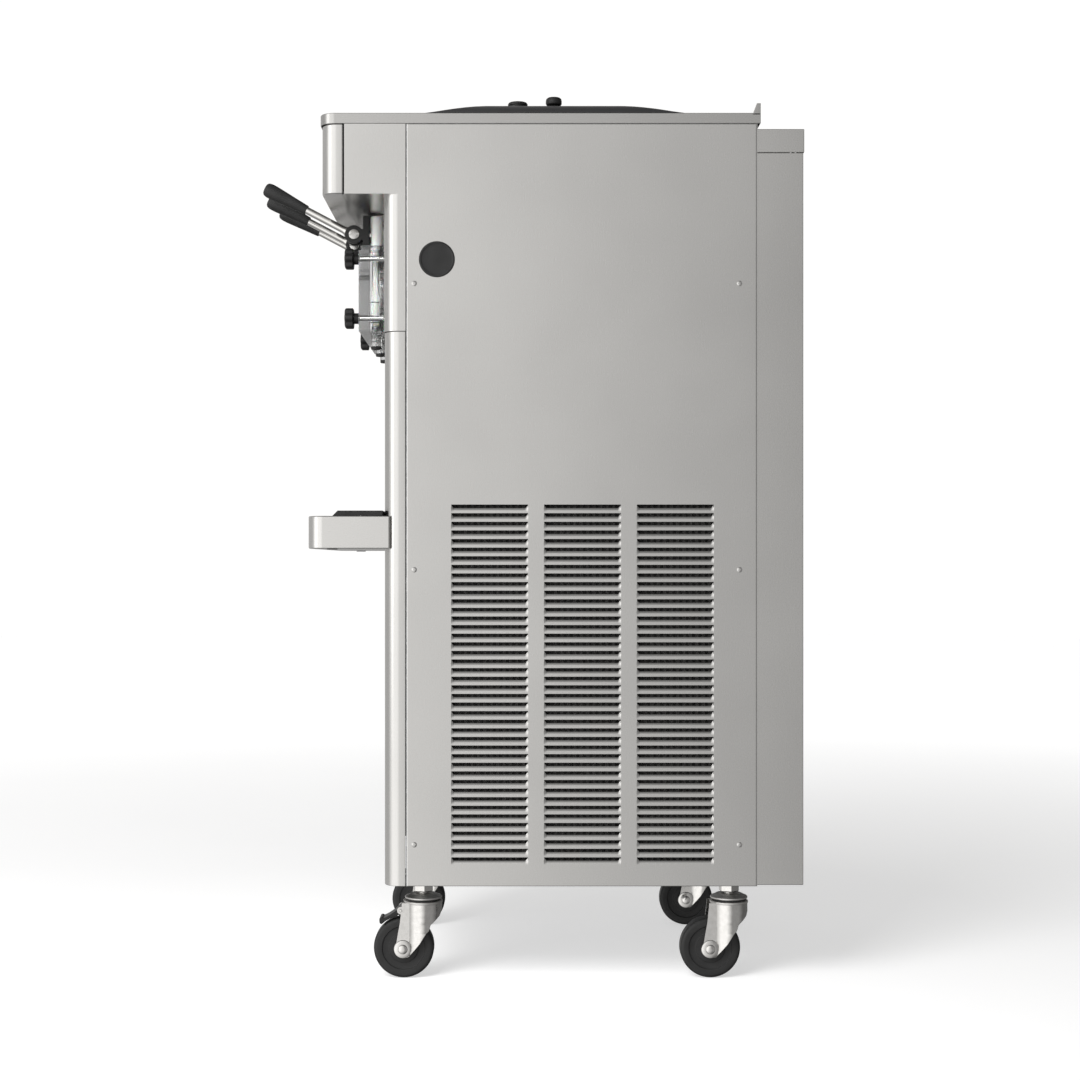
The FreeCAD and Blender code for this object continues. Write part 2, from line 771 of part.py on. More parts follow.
def hopper_lid(side_name, side):
    """A hollow lid with sloped sides up to a flat middle, which carries a knob and a vent cap."""
    label = f"hopper_lid_{side_name}"
    body = new_body(label)
    half_x = "(rim_outer_x - rim_inner_x) / 2"
    half_y = "(rim_rear_y - rim_front_y) / 2"
    flat_z = "lid_edge + lid_rise"

    def outline(name, height, inset_x, inset_y):
        sketch = new_sketch(body, f"{label}_{name}", "XY_Plane", height)
        rectangle(sketch, (f"-({half_x} - {inset_x})", f"{half_x} - {inset_x}"),
                  (f"-({half_y} - {inset_y})", f"{half_y} - {inset_y}"))
        return sketch

    pad(body, label + "_edge", outline("foot", 0, 0, 0), "lid_edge")
    slope = body.newObject("PartDesign::AdditiveLoft", label + "_slope")
    slope.Profile = outline("shoulder", "lid_edge", 0, 0)
    slope.Sections = [outline("flat", flat_z, "lid_flat_inset_x", "lid_flat_inset_y")]
    slope.Ruled = True
    pocket(body, label + "_recess", outline("recess_outline", 0, "lid_sheet * 2", "lid_sheet * 2"),
           "lid_edge")
    hollow = body.newObject("PartDesign::SubtractiveLoft", label + "_hollow")
    hollow.Profile = outline("hollow_foot", "lid_edge", "lid_sheet * 2", "lid_sheet * 2")
    hollow.Sections = [outline("hollow_flat", f"{flat_z} - lid_sheet", "lid_flat_inset_x + lid_sheet",
                               "lid_flat_inset_y + lid_sheet")]
    hollow.Ruled = True
    profile = new_sketch(body, label + "_knob_profile", "XZ_Plane")
    top = f"{flat_z} + knob_height"
    polygon(profile, ("0", f"{flat_z} - 1"), ("knob_radius * 0.5", f"{flat_z} - 1"),
            ("knob_radius * 0.5", f"{top} - 16"), ("knob_radius", f"{top} - 12"),
            ("knob_radius", f"{top} - 5"), ("knob_radius * 0.7", top), ("0", top))
    revolve(body, label + "_knob", profile)
    vent = new_sketch(body, label + "_vent_outline", "XY_Plane", f"{flat_z} - 1")
    circle(vent, 0, "-vent_offset_y", "vent_radius")
    pad(body, label + "_vent", vent, "vent_height + 1")
    place(body, f"{side} * (rim_outer_x + rim_inner_x) / 2", behind("(rim_front_y + rim_rear_y) / 2"),
          "cover_top + sheet")
    keep(body, label)


def freezing_cylinders():
    barrels = []
    for side_name, side in SIDES.items():
        tag = f"barrel_{side_name}"
        axis_x = f"{side} * barrel_x"
        skin = cylinder(tag + "_outer", "y", (axis_x, behind(0), "barrel_height"), "barrel_outer_radius",
                        "barrel_length")
        room = cylinder(tag + "_inner", "y", (axis_x, behind(-1), "barrel_height"), "barrel_inner_radius",
                        "barrel_length - barrel_end + 1")
        seal = cylinder(tag + "_seal", "y",
                        (axis_x, behind("barrel_length - barrel_end - 1"), "barrel_height"),
                        "shaft_radius + running_clearance", "barrel_end + 2")
        inlet = cylinder(tag + "_inlet", "z",
                         (axis_x, behind("feed_y"), "barrel_height + barrel_inner_radius - 5"),
                         "feed_radius", 20)
        barrels.append(cut(tag, skin, room, seal, inlet))
    keep(group("barrel_pair", *barrels), "freezing_cylinders")


def beater(side_name, side):
    """A shaft with two scraper blades on three spokes; its tail drives from the reducer."""
    tag = f"beater_{side_name}"
    pieces = [cylinder(tag + "_shaft", "y", (0, "shaft_front_y", 0), "shaft_radius",
                       "reducer_front_y + shaft_in_reducer - shaft_front_y")]
    for sign in (1, -1):
        pieces.append(box(f"{tag}_blade_{'a' if sign > 0 else 'b'}",
                          span(sign, "blade_inner_radius", "blade_outer_radius"),
                          ("blade_front_y", "barrel_length - barrel_end - blade_end_gap"),
                          ("-blade_thickness / 2", "blade_thickness / 2")))
    reach = "(barrel_length - barrel_end - spoke_front_y * 2 - spoke_width * 2)"
    for i in range(3):
        start = f"spoke_front_y + {i} * {reach} / 2"
        pieces.append(box(f"{tag}_spoke_{i}", ("-(blade_inner_radius + 2)", "blade_inner_radius + 2"),
                          (start, f"{start} + spoke_width"), ("-blade_thickness", "blade_thickness")))
    whole = fuse(tag + "_joined", *pieces)
    keep(place(whole, f"{side} * barrel_x", behind(0), "barrel_height"), tag)


def gear_reducers():
    reducers = []
    for side_name, side in SIDES.items():
        tag = f"reducer_{side_name}"
        axis_x = f"{side} * barrel_x"
        case = box(tag + "_case", (f"{axis_x} - reducer_half_width", f"{axis_x} + reducer_half_width"),
                   (behind("reducer_front_y"), behind("reducer_rear_y")),
                   ("barrel_height - reducer_half_height", "barrel_height + reducer_half_height"))
        collar = cylinder(tag + "_collar", "y", (axis_x, behind("barrel_length"), "barrel_height"),
                          "reducer_collar_radius", "reducer_front_y - barrel_length")
        bore = cylinder(tag + "_bore", "y", (axis_x, behind("barrel_length - 1"), "barrel_height"),
                        "shaft_radius + running_clearance", "reducer_rear_y - barrel_length + 2")
        reducers.append(cut(tag, fuse(tag + "_solid", case, collar), bore))
    keep(group("reducer_pair", *reducers), "gear_reducers")


# ---------------------------------------------------------------- drive

def drive_motor():
    case = cylinder("motor_case", "y", (0, behind("motor_front_y"), "motor_height"), "motor_radius",
                    "motor_rear_y - motor_front_y")
    foot = box("motor_foot", ("-motor_radius * 0.8", "motor_radius * 0.8"),
               (behind("motor_front_y + motor_foot_inset"), behind("motor_rear_y - motor_foot_inset")),
               ("shelf_height + shelf_thickness", "motor_height - motor_radius * 0.7"))
    bore = cylinder("motor_bore", "y", (0, behind("motor_rear_y - motor_shaft_depth - 2"), "motor_height"),
                    "motor_shaft_radius + running_clearance", "motor_shaft_depth + 12")
    keep(cut("motor_bored", fuse("motor_solid", case, foot), bore), "drive_motor")


def flanged_pulley(tag, radius, grooves, shaft_radius, shaft_start):
    """A drum with a flange each side of every belt groove, on a stub shaft, along local Y."""
    first, last = grooves[0], grooves[-1]
    drum_start = f"{first} - flange_thickness"
    pieces = [
        cylinder(tag + "_drum", "y", (0, drum_start, 0), radius,
                 f"{last} - {first} + groove_width + flange_thickness * 2"),
        cylinder(tag + "_shaft", "y", (0, shaft_start, 0), shaft_radius,
                 f"{drum_start} - ({shaft_start}) + 1"),
    ]
    for i, groove in enumerate(grooves):
        for j, start in enumerate((f"{groove} - flange_thickness", f"{groove} + groove_width")):
            pieces.append(cylinder(f"{tag}_flange_{i}{j}", "y", (0, start, 0), f"{radius} + flange_height",
                                   "flange_thickness"))
    return fuse(tag + "_joined", *pieces)


def pulleys():
    motor = flanged_pulley("motor_pulley", "motor_pulley_radius", ["groove_right_y", "groove_left_y"],
                           "motor_shaft_radius", "motor_rear_y - motor_shaft_depth")
    keep(place(motor, 0, behind(0), "motor_height"), "motor_pulley")
    for side_name, side in SIDES.items():
        tag = f"reducer_pulley_{side_name}"
        pulley = flanged_pulley(tag, "reducer_pulley_radius", [f"groove_{side_name}_y"], "shaft_radius",
                                "reducer_rear_y - reducer_shaft_depth")
        keep(place(pulley, f"{side} * barrel_x", behind(0), "barrel_height"), tag)


def loop_face(centre_a, radius_a, centre_b, radius_b):
    """The outline of an open belt round two circles in the XZ plane, as a flat face."""
    along = centre_b - centre_a
    lean = math.acos((radius_a - radius_b) / along.Length)
    along.normalize()
    up = Rotation(Vector(0, 1, 0), math.degrees(lean)).multVec(along)
    down = Rotation(Vector(0, 1, 0), -math.degrees(lean)).multVec(along)
    a_up, a_down = centre_a + up * radius_a, centre_a + down * radius_a
    b_up, b_down = centre_b + up * radius_b, centre_b + down * radius_b
    edges = [Part.LineSegment(a_up, b_up), Part.Arc(b_up, centre_b + along * radius_b, b_down),
             Part.LineSegment(b_down, a_down), Part.Arc(a_down, centre_a - along * radius_a, a_up)]
    return Part.Face(Part.Wire([edge.toShape() for edge in edges]))


def drive_belts():
    """Two belts from the motor pulley, one to each reducer pulley."""
    solids = []
    for side_name, side in SIDES.items():
        start_y = size(f"groove_{side_name}_y") + (size("groove_width") - size("belt_width")) / 2
        motor = Vector(0, start_y, size("motor_height"))
        reducer = Vector(side * size("barrel_x"), start_y, size("barrel_height"))
        inner = [size("motor_pulley_radius") + size("belt_clearance"),
                 size("reducer_pulley_radius") + size("belt_clearance")]
        outer = [radius + size("belt_thickness") for radius in inner]
        width = Vector(0, size("belt_width"), 0)
        solids.append(loop_face(motor, outer[0], reducer, outer[1]).extrude(width).cut(
            loop_face(motor, inner[0], reducer, inner[1]).extrude(width)))
    obj = doc.addObject("Part::Feature", "belt_pair")
    obj.Shape = Part.makeCompound(solids)
    keep(place(obj, 0, behind(0), 0), "drive_belts")


# ---------------------------------------------------------------- refrigeration

def compressor():
    body = new_body("compressor")
    profile = new_sketch(body, "compressor_profile", "XZ_Plane")
    radius, top = "compressor_radius", "compressor_height"
    polygon(profile, ("0", "0"), (f"{radius} * 0.9", "0"), (f"{radius} * 0.9", f"{top} * 0.06"),
            (radius, f"{top} * 0.12"), (radius, f"{top} * 0.8"), (f"{radius} * 0.75", f"{top} * 0.95"),
            (f"{radius} * 0.4", top), ("0", top))
    revolve(body, "compressor_shell", profile)
    keep(place(body, "compressor_x", behind("compressor_y"), "body_bottom + pan_thickness"), "compressor")


def condenser():
    """A finned block on two legs, which also carries the fan's motor and its shaft."""
    block = box("condenser_block", ("-condenser_half_width", "condenser_half_width"),
                (behind("condenser_front_y"), behind("condenser_rear_y")), ("condenser_bottom",
                                                                            "condenser_top"))
    pieces = [block]
    for side_name, side in SIDES.items():
        pieces.append(box(f"condenser_leg_{side_name}",
                          span(side, "condenser_half_width - condenser_leg", "condenser_half_width"),
                          (behind("condenser_front_y"), behind("condenser_rear_y")),
                          ("body_bottom + pan_thickness", "condenser_bottom")))
    pieces.append(cylinder("fan_motor", "y", (0, behind("condenser_rear_y"), "fan_height"),
                           "fan_motor_radius",
                           "fan_motor_rear_y - condenser_rear_y"))
    pieces.append(cylinder("fan_shaft", "y", (0, behind("fan_motor_rear_y"), "fan_height"), "pin_radius",
                           "fan_rear_y - fan_motor_rear_y"))
    keep(fuse("condenser_joined", *pieces), "condenser")


def condenser_fan():
    body = new_body("condenser_fan")
    depth = "(fan_rear_y - fan_front_y)"
    hub = new_sketch(body, "fan_hub_outline", "XZ_Plane", f"-{depth} / 2")
    circle(hub, 0, 0, "fan_hub_radius")
    pad(body, "fan_hub", hub, depth)
    blade = new_sketch(body, "fan_blade_outline", "YZ_Plane", "fan_hub_radius - 8")
    lean = "fan_blade_tilt * 1 deg"
    chord_y, chord_z = f"fan_blade_half_chord * sin({lean})", f"fan_blade_half_chord * cos({lean})"
    thick_y, thick_z = f"fan_blade_thickness / 2 * cos({lean})", f"-fan_blade_thickness / 2 * sin({lean})"
    polygon(blade, (f"{chord_y} + {thick_y}", f"{chord_z} + {thick_z}"),
            (f"{chord_y} - {thick_y}", f"{chord_z} - ({thick_z})"),
            (f"-({chord_y}) - {thick_y}", f"-({chord_z}) - ({thick_z})"),
            (f"-({chord_y}) + {thick_y}", f"-({chord_z}) + {thick_z}"))
    first = pad(body, "fan_blade", blade, "fan_radius - fan_hub_radius + 6")
    polar_pattern(body, "fan_ring", first, "Y_Axis", "fan_blades")
    bore = new_sketch(body, "fan_bore_outline", "XZ_Plane", f"-{depth}")
    circle(bore, 0, 0, "pin_radius + running_clearance")
    pocket(body, "fan_bore", bore, f"{depth} * 2")
    keep(place(body, 0, behind("(fan_front_y + fan_rear_y) / 2"), "fan_height"), "condenser_fan")


mix_hoppers()
for side_name, side in SIDES.items():
    hopper_lid(side_name, side)
    beater(side_name, side)
freezing_cylinders()
gear_reducers()
drive_motor()
pulleys()
drive_belts()
compressor()
condenser()
condenser_fan()


# ---------------------------------------------------------------- draw head

STEPS = {"left": -1, "centre": 0, "right": 1}


def draw_head():
    """The clear block that closes both cylinders and holds the three draw valves."""
    body = new_body("draw_head")
    outline = new_sketch(body, "draw_outline", "YZ_Plane", "-head_half_width")
    rectangle(outline, (behind("-head_depth"), behind(0)), ("head_low", "head_high"))
    pad(body, "draw_block", outline, "head_half_width * 2")
    raised = new_sketch(body, "draw_raised_outline", "XY_Plane", "head_high")
    rectangle(raised, ("-head_centre_half_width", "head_centre_half_width"),
              (behind("-head_depth"), behind(0)))
    pad(body, "draw_raised", raised, "head_centre_high - head_high")
    necks = new_sketch(body, "draw_neck_outlines", "XY_Plane", "neck_low")
    bores = new_sketch(body, "draw_bore_outlines", "XY_Plane", "plunger_low - bore_end_gap")
    outlets = new_sketch(body, "draw_outlet_outlines", "XY_Plane", "neck_low - 1")
    for step in STEPS.values():
        spot = (f"{step} * lever_x", behind("plunger_y"))
        circle(necks, *spot, "neck_radius")
        circle(bores, *spot, "plunger_radius + running_clearance")
        circle(outlets, *spot, "nozzle_radius")
    pad(body, "draw_necks", necks, "head_low - neck_low + 1")
    pocket(body, "draw_bores", bores, "head_centre_high - plunger_low + 10")
    pocket(body, "draw_outlets", outlets, "plunger_low - neck_low")
    ports = new_sketch(body, "draw_port_outlines", "XZ_Plane", f"-{behind(1)}")
    for side in SIDES.values():
        circle(ports, f"{side} * barrel_x", "barrel_height", "port_radius")
    pocket(body, "draw_ports", ports, "port_depth + 1")
    channel = new_sketch(body, "draw_channel_outline", "XZ_Plane", f"-{behind(1)}")
    rectangle(channel, ("-(barrel_x - port_radius / 2)", "barrel_x - port_radius / 2"),
              ("barrel_height - nozzle_radius", "barrel_height + nozzle_radius"))
    pocket(body, "draw_channel", channel, "port_depth + 1")
    holes = new_sketch(body, "draw_stud_holes", "XZ_Plane", f"-{behind(1)}")
    for side in SIDES.values():
        for up in ("stud_low", "stud_high"):
            circle(holes, f"{side} * stud_x", up, "stud_radius + 0.5")
    pocket(body, "draw_stud_cut", holes, "head_depth + 2")
    keep(body, "draw_head")


def draw_head_studs():
    studs = []
    for side_name, side in SIDES.items():
        for up in ("low", "high"):
            studs.append(cylinder(f"stud_{up}_{side_name}", "y",
                                  (f"{side} * stud_x", behind("star_front_y + stud_end_gap"), f"stud_{up}"),
                                  "stud_radius", "-star_front_y - stud_end_gap"))
    keep(group("stud_set", *studs), "draw_head_studs")


def nozzle_caps():
    caps = []
    for name, step in STEPS.items():
        spot = (f"{step} * lever_x", behind("plunger_y"))
        ring = cylinder(f"nozzle_ring_{name}", "z", (*spot, "nozzle_cap_low"), "neck_radius",
                        "neck_low - nozzle_cap_low")
        bore = cylinder(f"nozzle_hole_{name}", "z", (*spot, "nozzle_cap_low - 1"), "nozzle_radius", 10)
        caps.append(cut(f"nozzle_cap_{name}", ring, bore))
    keep(group("nozzle_cap_set", *caps), "nozzle_caps")


def star_knob(side_name, side, level_name, level):
    """A lobed hand nut with a blind bore for its stud, turned so that its cap faces forwards."""
    label = f"star_knob_{level_name}_{side_name}"
    body = new_body(label)
    profile = new_sketch(body, label + "_profile", "XZ_Plane")
    reach = "(-star_front_y - head_depth)"
    bore = "stud_radius + running_clearance"
    polygon(profile, (bore, "0"), ("star_neck_radius", "0"), ("star_neck_radius", f"{reach} - star_depth"),
            ("star_radius", f"{reach} - star_depth"), ("star_radius", f"{reach} - star_edge"),
            ("star_radius - star_edge", reach), ("0", reach), ("0", f"{reach} - star_cap"),
            (bore, f"{reach} - star_cap"))
    revolve(body, label + "_nut", profile)
    notch = new_sketch(body, label + "_notch_outline", "XY_Plane", f"{reach} - star_depth - 1")
    circle(notch, "star_radius + 2.2", 0, "star_radius / 4")
    first = pocket(body, label + "_notch", notch, "star_depth + 2")
    polar_pattern(body, label + "_lobes", first, "Z_Axis", "star_lobes")
    body.Placement = Placement(Vector(), Rotation(Vector(1, 0, 0), 90))
    keep(place(body, f"{side} * stud_x", behind("-head_depth"), level), label)


def plunger(name, step):
    """A draw valve rod, slotted in front for the tip of its lever."""
    tag = f"plunger_{name}"
    rod = cylinder(tag + "_rod", "z", (0, 0, "plunger_low"), "plunger_radius", "plunger_top - plunger_low")
    slot = box(tag + "_slot", ("-(lever_arm_half_width + 1)", "lever_arm_half_width + 1"),
               ("-plunger_radius - 1", "plunger_slot_depth"),
               ("lever_pivot_height - plunger_slot_below", "lever_pivot_height + plunger_slot_above"))
    whole = cut(tag + "_slotted", rod, slot)
    keep(place(whole, f"{step} * lever_x", behind("plunger_y"), 0), tag)


# ---------------------------------------------------------------- levers

def pivot_y(name):
    """The middle lever stands a little further forward than the outer two."""
    return behind("lever_pivot_y - lever_middle_forward" if name == "centre" else "lever_pivot_y")


def lever(name, step):
    """A round handle rising forwards from its hub, and a flat arm back to the plunger."""
    tag = f"lever_{name}"
    hub = cylinder(tag + "_hub", "x", ("-lever_hub_half_width", 0, 0), "lever_hub_radius",
                   "lever_hub_half_width * 2")
    handle = doc.addObject("Part::Cylinder", tag + "_handle")
    handle.Placement = Placement(Vector(), Rotation(Vector(1, 0, 0), 60))
    bind(handle, "Placement.Rotation.Angle", "90 - lever_angle")
    bind(handle, "Radius", "lever_radius")
    bind(handle, "Height", "lever_length - grip_cap")
    reach = f"{behind('plunger_y')} - {pivot_y(name)}"
    arm = box(tag + "_arm", ("-lever_arm_half_width", "lever_arm_half_width"), (0, reach),
              ("-lever_arm_thickness / 2", "lever_arm_thickness / 2"))
    tip = cylinder(tag + "_tip", "x", ("-lever_arm_half_width", reach, 0), "lever_arm_thickness / 2",
                   "lever_arm_half_width * 2")
    bore = cylinder(tag + "_bore", "x", ("-lever_hub_half_width - 1", 0, 0), "pin_radius + running_clearance",
                    "lever_hub_half_width * 2 + 2")
    whole = cut(tag + "_bored", fuse(tag + "_solid", hub, handle, arm, tip), bore)
    keep(place(whole, f"{step} * lever_x", pivot_y(name), "lever_pivot_height"), tag)


def grip(name, step):
    """A moulded sleeve that thickens towards the end of its lever."""
    label = f"grip_{name}"
    body = new_body(label)
    profile = new_sketch(body, label + "_profile", "XZ_Plane")
    bore = "lever_radius + running_clearance"
    polygon(profile, (bore, "0"), ("grip_inner_radius", "0"), ("grip_outer_radius", "grip_length * 0.8"),
            ("grip_outer_radius", "grip_length * 0.92"), ("grip_outer_radius * 0.7", "grip_length"),
            ("0", "grip_length"), ("0", "grip_length - grip_cap + running_clearance"),
            (bore, "grip_length - grip_cap + running_clearance"))
    revolve(body, label + "_sleeve", profile)
    body.Placement = Placement(Vector(), Rotation(Vector(1, 0, 0), 60))
    bind(body, "Placement.Rotation.Angle", "90 - lever_angle")
    start = "(lever_length - grip_length)"
    keep(place(body, f"{step} * lever_x", f"{pivot_y(name)} - {start} * cos(lever_angle * 1 deg)",
               f"lever_pivot_height + {start} * sin(lever_angle * 1 deg)"), label)


def lever_brackets():
    """A pair of ears for each lever, standing on the draw head in front of the plunger."""
    ears = []
    for name, step in STEPS.items():
        for side_name, side in SIDES.items():
            tag = f"ear_{name}_{side_name}"
            inner, outer = span(side, "ear_inner_x", "ear_outer_x")
            low_x, high_x = f"{step} * lever_x + {inner}", f"{step} * lever_x + {outer}"
            eye = cylinder(tag + "_eye", "x", (low_x, pivot_y(name), "lever_pivot_height"), "ear_radius",
                           "ear_outer_x - ear_inner_x")
            link = box(tag + "_link", (low_x, high_x), (pivot_y(name), behind("ear_post_rear_y")),
                       ("lever_pivot_height - ear_radius * 0.6", "lever_pivot_height + ear_radius * 0.6"))
            post = box(tag + "_post", (low_x, high_x),
                       (behind("ear_post_front_y"), behind("ear_post_rear_y")),
                       ("head_centre_high", "plunger_top"))
            bore = cylinder(tag + "_bore", "x", (f"{low_x} - 1", pivot_y(name), "lever_pivot_height"),
                            "pin_radius + running_clearance", "ear_outer_x - ear_inner_x + 2")
            ears.append(cut(tag, fuse(tag + "_solid", eye, link, post), bore))
    keep(group("ear_set", *ears), "lever_brackets")


def lever_pins():
    pins = []
    for name, step in STEPS.items():
        low_x = f"{step} * lever_x - ear_outer_x"
        shank = cylinder(f"pin_{name}_shank", "x", (low_x, pivot_y(name), "lever_pivot_height"), "pin_radius",
                         "ear_outer_x * 2")
        head = cylinder(f"pin_{name}_head", "x",
                        (f"{step} * lever_x + ear_outer_x", pivot_y(name), "lever_pivot_height"),
                        "pin_radius * 2.4", "pin_head")
        pins.append(fuse(f"pin_{name}", shank, head))
    keep(group("pin_set", *pins), "lever_pins")


# ---------------------------------------------------------------- drip tray

def rounded_block(name, across, along, up, radius, front_y):
    """A block whose two front uprights are rounded."""
    body = new_body(name)
    outline = new_sketch(body, name + "_outline", "XY_Plane", up[0])
    rectangle(outline, across, along)
    block = pad(body, name + "_pad", outline, f"({up[1]}) - ({up[0]})")
    fillet(body, name + "_corners", block, radius, upright_edge(front_y))
    return body


def drip_tray():
    """A rounded pan with a deck along its front and a wide opening for the grid."""
    front_y = size("front") + size("tray_front_y")
    outer = rounded_block("tray_outer", (f"-{HALF}", HALF),
                          (behind("tray_front_y"), behind("panel_step - 0.2")),
                          ("tray_low", "tray_high"), "corner_radius", front_y)
    room = rounded_block("tray_room", (f"-({HALF} - tray_sheet)", f"{HALF} - tray_sheet"),
                         (behind("tray_front_y + tray_sheet"), behind("panel_step - 0.2 - tray_sheet")),
                         ("tray_low + tray_sheet", "tray_high - tray_sheet"), "corner_radius - tray_sheet",
                         front_y + size("tray_sheet"))
    mouth = box("tray_mouth", ("-(grid_half_width - 2)", "grid_half_width - 2"),
                (behind("grid_front_y + 2"), behind(-2)), ("tray_high - 5", "tray_high + 1"))
    keep(cut("tray_hollow", outer, room, mouth), "drip_tray")


def drip_grid():
    """A slotted plate with a sloped front edge that drops into the tray's opening."""
    body = new_body("drip_grid")
    outline = new_sketch(body, "grid_outline", "YZ_Plane", "-grid_half_width")
    polygon(outline, (behind("grid_front_y"), "tray_high"), (behind(-1), "tray_high"),
            (behind(-1), "tray_high + grid_height"), (behind("grid_front_y + grid_height"),
                                                      "tray_high + grid_height"))
    pad(body, "grid_plate", outline, "grid_half_width * 2")
    foot = new_sketch(body, "grid_foot_outline", "XY_Plane", "tray_high - 4")
    rectangle(foot, ("-(grid_half_width - 3)", "grid_half_width - 3"),
              (behind("grid_front_y + 3"), behind(-3)))
    pad(body, "grid_foot", foot, 5)
    slots = new_sketch(body, "grid_slot_outline", "XY_Plane", "tray_high - 5")
    start = "(-grid_slot_pitch * (grid_slots - 1) / 2)"
    rectangle(slots, (f"{start} - grid_slot_width / 2", f"{start} + grid_slot_width / 2"),
              (behind("grid_front_y + 16"), behind(-12)))
    first = pocket(body, "grid_slot", slots, "grid_height + 10")
    linear_pattern(body, "grid_slot_row", first, "X_Axis", "grid_slot_pitch * (grid_slots - 1)", "grid_slots")
    keep(body, "drip_grid")


draw_head()
draw_head_studs()
nozzle_caps()
for side_name, side in SIDES.items():
    star_knob(side_name, side, "upper", "stud_high")
    star_knob(side_name, side, "lower", "stud_low")
for name, step in STEPS.items():
    plunger(name, step)
    lever(name, step)
    grip(name, step)
lever_brackets()
lever_pins()
drip_tray()
drip_grid()


# ---------------------------------------------------------------- casters

AXLES = {"front": "caster_front_y", "rear": "caster_rear_y"}


def caster_stems():
    """A threaded stem and its nut below each corner of the base pan."""
    stems = []
    for end_name, axis_y in AXLES.items():
        for side_name, side in SIDES.items():
            tag = f"stem_{end_name}_{side_name}"
            spot = (f"{side} * caster_x", behind(axis_y))
            shank = cylinder(tag + "_shank", "z", (*spot, "race_bottom"), "stem_radius",
                             "body_bottom - race_bottom")
            nut = doc.addObject("Part::Prism", tag + "_nut")
            nut.Polygon = 6
            bind(nut, "Circumradius", "stem_radius * 2.4")
            bind(nut, "Height", "body_bottom - race_top - 0.5")
            place(nut, *spot, "race_top + 0.5")
            stems.append(fuse(tag, shank, nut))
    keep(group("stem_set", *stems), "caster_stems")


def fork(end_name, side_name, side):
    """A swivel race over two tapering legs that hold the axle."""
    label = f"caster_fork_{end_name}_{side_name}"
    body = new_body(label)
    inner = "(wheel_half_width + fork_clearance)"
    for leg_name, offset in (("near", inner), ("far", f"-({inner} + fork_thickness)")):
        leg = new_sketch(body, f"{label}_{leg_name}_outline", "YZ_Plane", offset)
        polygon(leg, ("-race_radius - fork_shoulder", "race_bottom"), ("race_radius", "race_bottom"),
                ("race_radius - 4", "race_bottom - fork_waist"),
                ("-caster_trail + fork_boss_radius * 0.8", "wheel_radius - fork_boss_radius * 0.7"),
                ("-caster_trail", "wheel_radius - fork_boss_radius"),
                ("-caster_trail - fork_boss_radius * 0.8", "wheel_radius - fork_boss_radius * 0.6"),
                ("-caster_trail - fork_boss_radius", "wheel_radius + 4"),
                ("-race_radius - fork_shoulder", "race_bottom - 14"))
        pad(body, f"{label}_{leg_name}", leg, "fork_thickness")
    bridge = new_sketch(body, label + "_bridge_outline", "XY_Plane", "race_bottom - fork_thickness")
    rectangle(bridge, (f"-({inner} + fork_thickness)", f"{inner} + fork_thickness"),
              ("-race_radius + 3", "race_radius"))
    pad(body, label + "_bridge", bridge, "fork_thickness")
    race = new_sketch(body, label + "_race_outline", "XY_Plane", "race_bottom - 1")
    circle(race, 0, 0, "race_radius")
    pad(body, label + "_race", race, "race_top - race_bottom + 1")
    axle = new_sketch(body, label + "_axle_outline", "YZ_Plane",
                      f"-({inner} + fork_thickness + axle_overhang)")
    circle(axle, "-caster_trail", "wheel_radius", "axle_radius")
    pad(body, label + "_axle", axle, f"({inner} + fork_thickness + axle_overhang) * 2")
    bore = new_sketch(body, label + "_bore_outline", "XY_Plane", "race_bottom - 6")
    circle(bore, 0, 0, "stem_radius + running_clearance")
    pocket(body, label + "_bore", bore, "race_top - race_bottom + 10")
    keep(place(body, f"{side} * caster_x", behind(AXLES[end_name]), 0), label)


def wheel(end_name, side_name, side):
    """A hub, a thin web and a tread, turned about the axle."""
    label = f"caster_wheel_{end_name}_{side_name}"
    body = new_body(label)
    profile = new_sketch(body, label + "_profile", "XZ_Plane")
    half, rim = "wheel_half_width", "wheel_radius"
    upper = [("axle_radius + running_clearance", half), (f"{rim} * 0.3", half),
             (f"{rim} * 0.36", f"{half} * 0.7"),
             (f"{rim} * 0.68", f"{half} * 0.7"), (f"{rim} * 0.74", f"{half} * 0.95"),
             (f"{rim} * 0.93", f"{half} * 0.95"), (rim, f"{half} * 0.6")]
    lower = [(radius, f"-({height})") for radius, height in upper[::-1]]
    polygon(profile, *upper, *lower)
    revolve(body, label + "_turned", profile)
    body.Placement = Placement(Vector(), Rotation(Vector(0, 1, 0), 90))
    keep(place(body, f"{side} * caster_x", behind(f"{AXLES[end_name]} - caster_trail"), "wheel_radius"),
         label)


def brake_pedal(side_name, side):
    """A pedal hinged between the legs, with a tread plate ahead of the wheel."""
    tag = f"brake_pedal_{side_name}"
    tilt = "pedal_tilt * 1 deg"
    end_y, end_z = f"-pedal_length * cos({tilt})", f"-pedal_length * sin({tilt})"
    hub = cylinder(tag + "_hub", "x", ("-wheel_half_width", 0, 0), "pedal_hub_radius", "wheel_half_width * 2")
    plate = box(tag + "_plate", ("-wheel_half_width", "wheel_half_width"), (0, "pedal_length"),
                (0, "pedal_thickness"))
    plate.Placement = Placement(Vector(), Rotation(Vector(1, 0, 0), 24))
    bind(plate, "Placement.Rotation.Angle", "pedal_tilt")
    place(plate, "-wheel_half_width", end_y, end_z)
    lip = cylinder(tag + "_lip", "x", ("-pedal_half_width", end_y, end_z), "pedal_lip_radius",
                   "pedal_half_width * 2")
    whole = fuse(tag + "_joined", hub, plate, lip)
    keep(place(whole, f"{side} * caster_x", behind("caster_front_y - pedal_hinge_forward"),
               "race_bottom - pedal_hinge_drop"), tag)


caster_stems()
for side_name, side in SIDES.items():
    for end_name in AXLES:
        fork(end_name, side_name, side)
        wheel(end_name, side_name, side)
    brake_pedal(side_name, side)


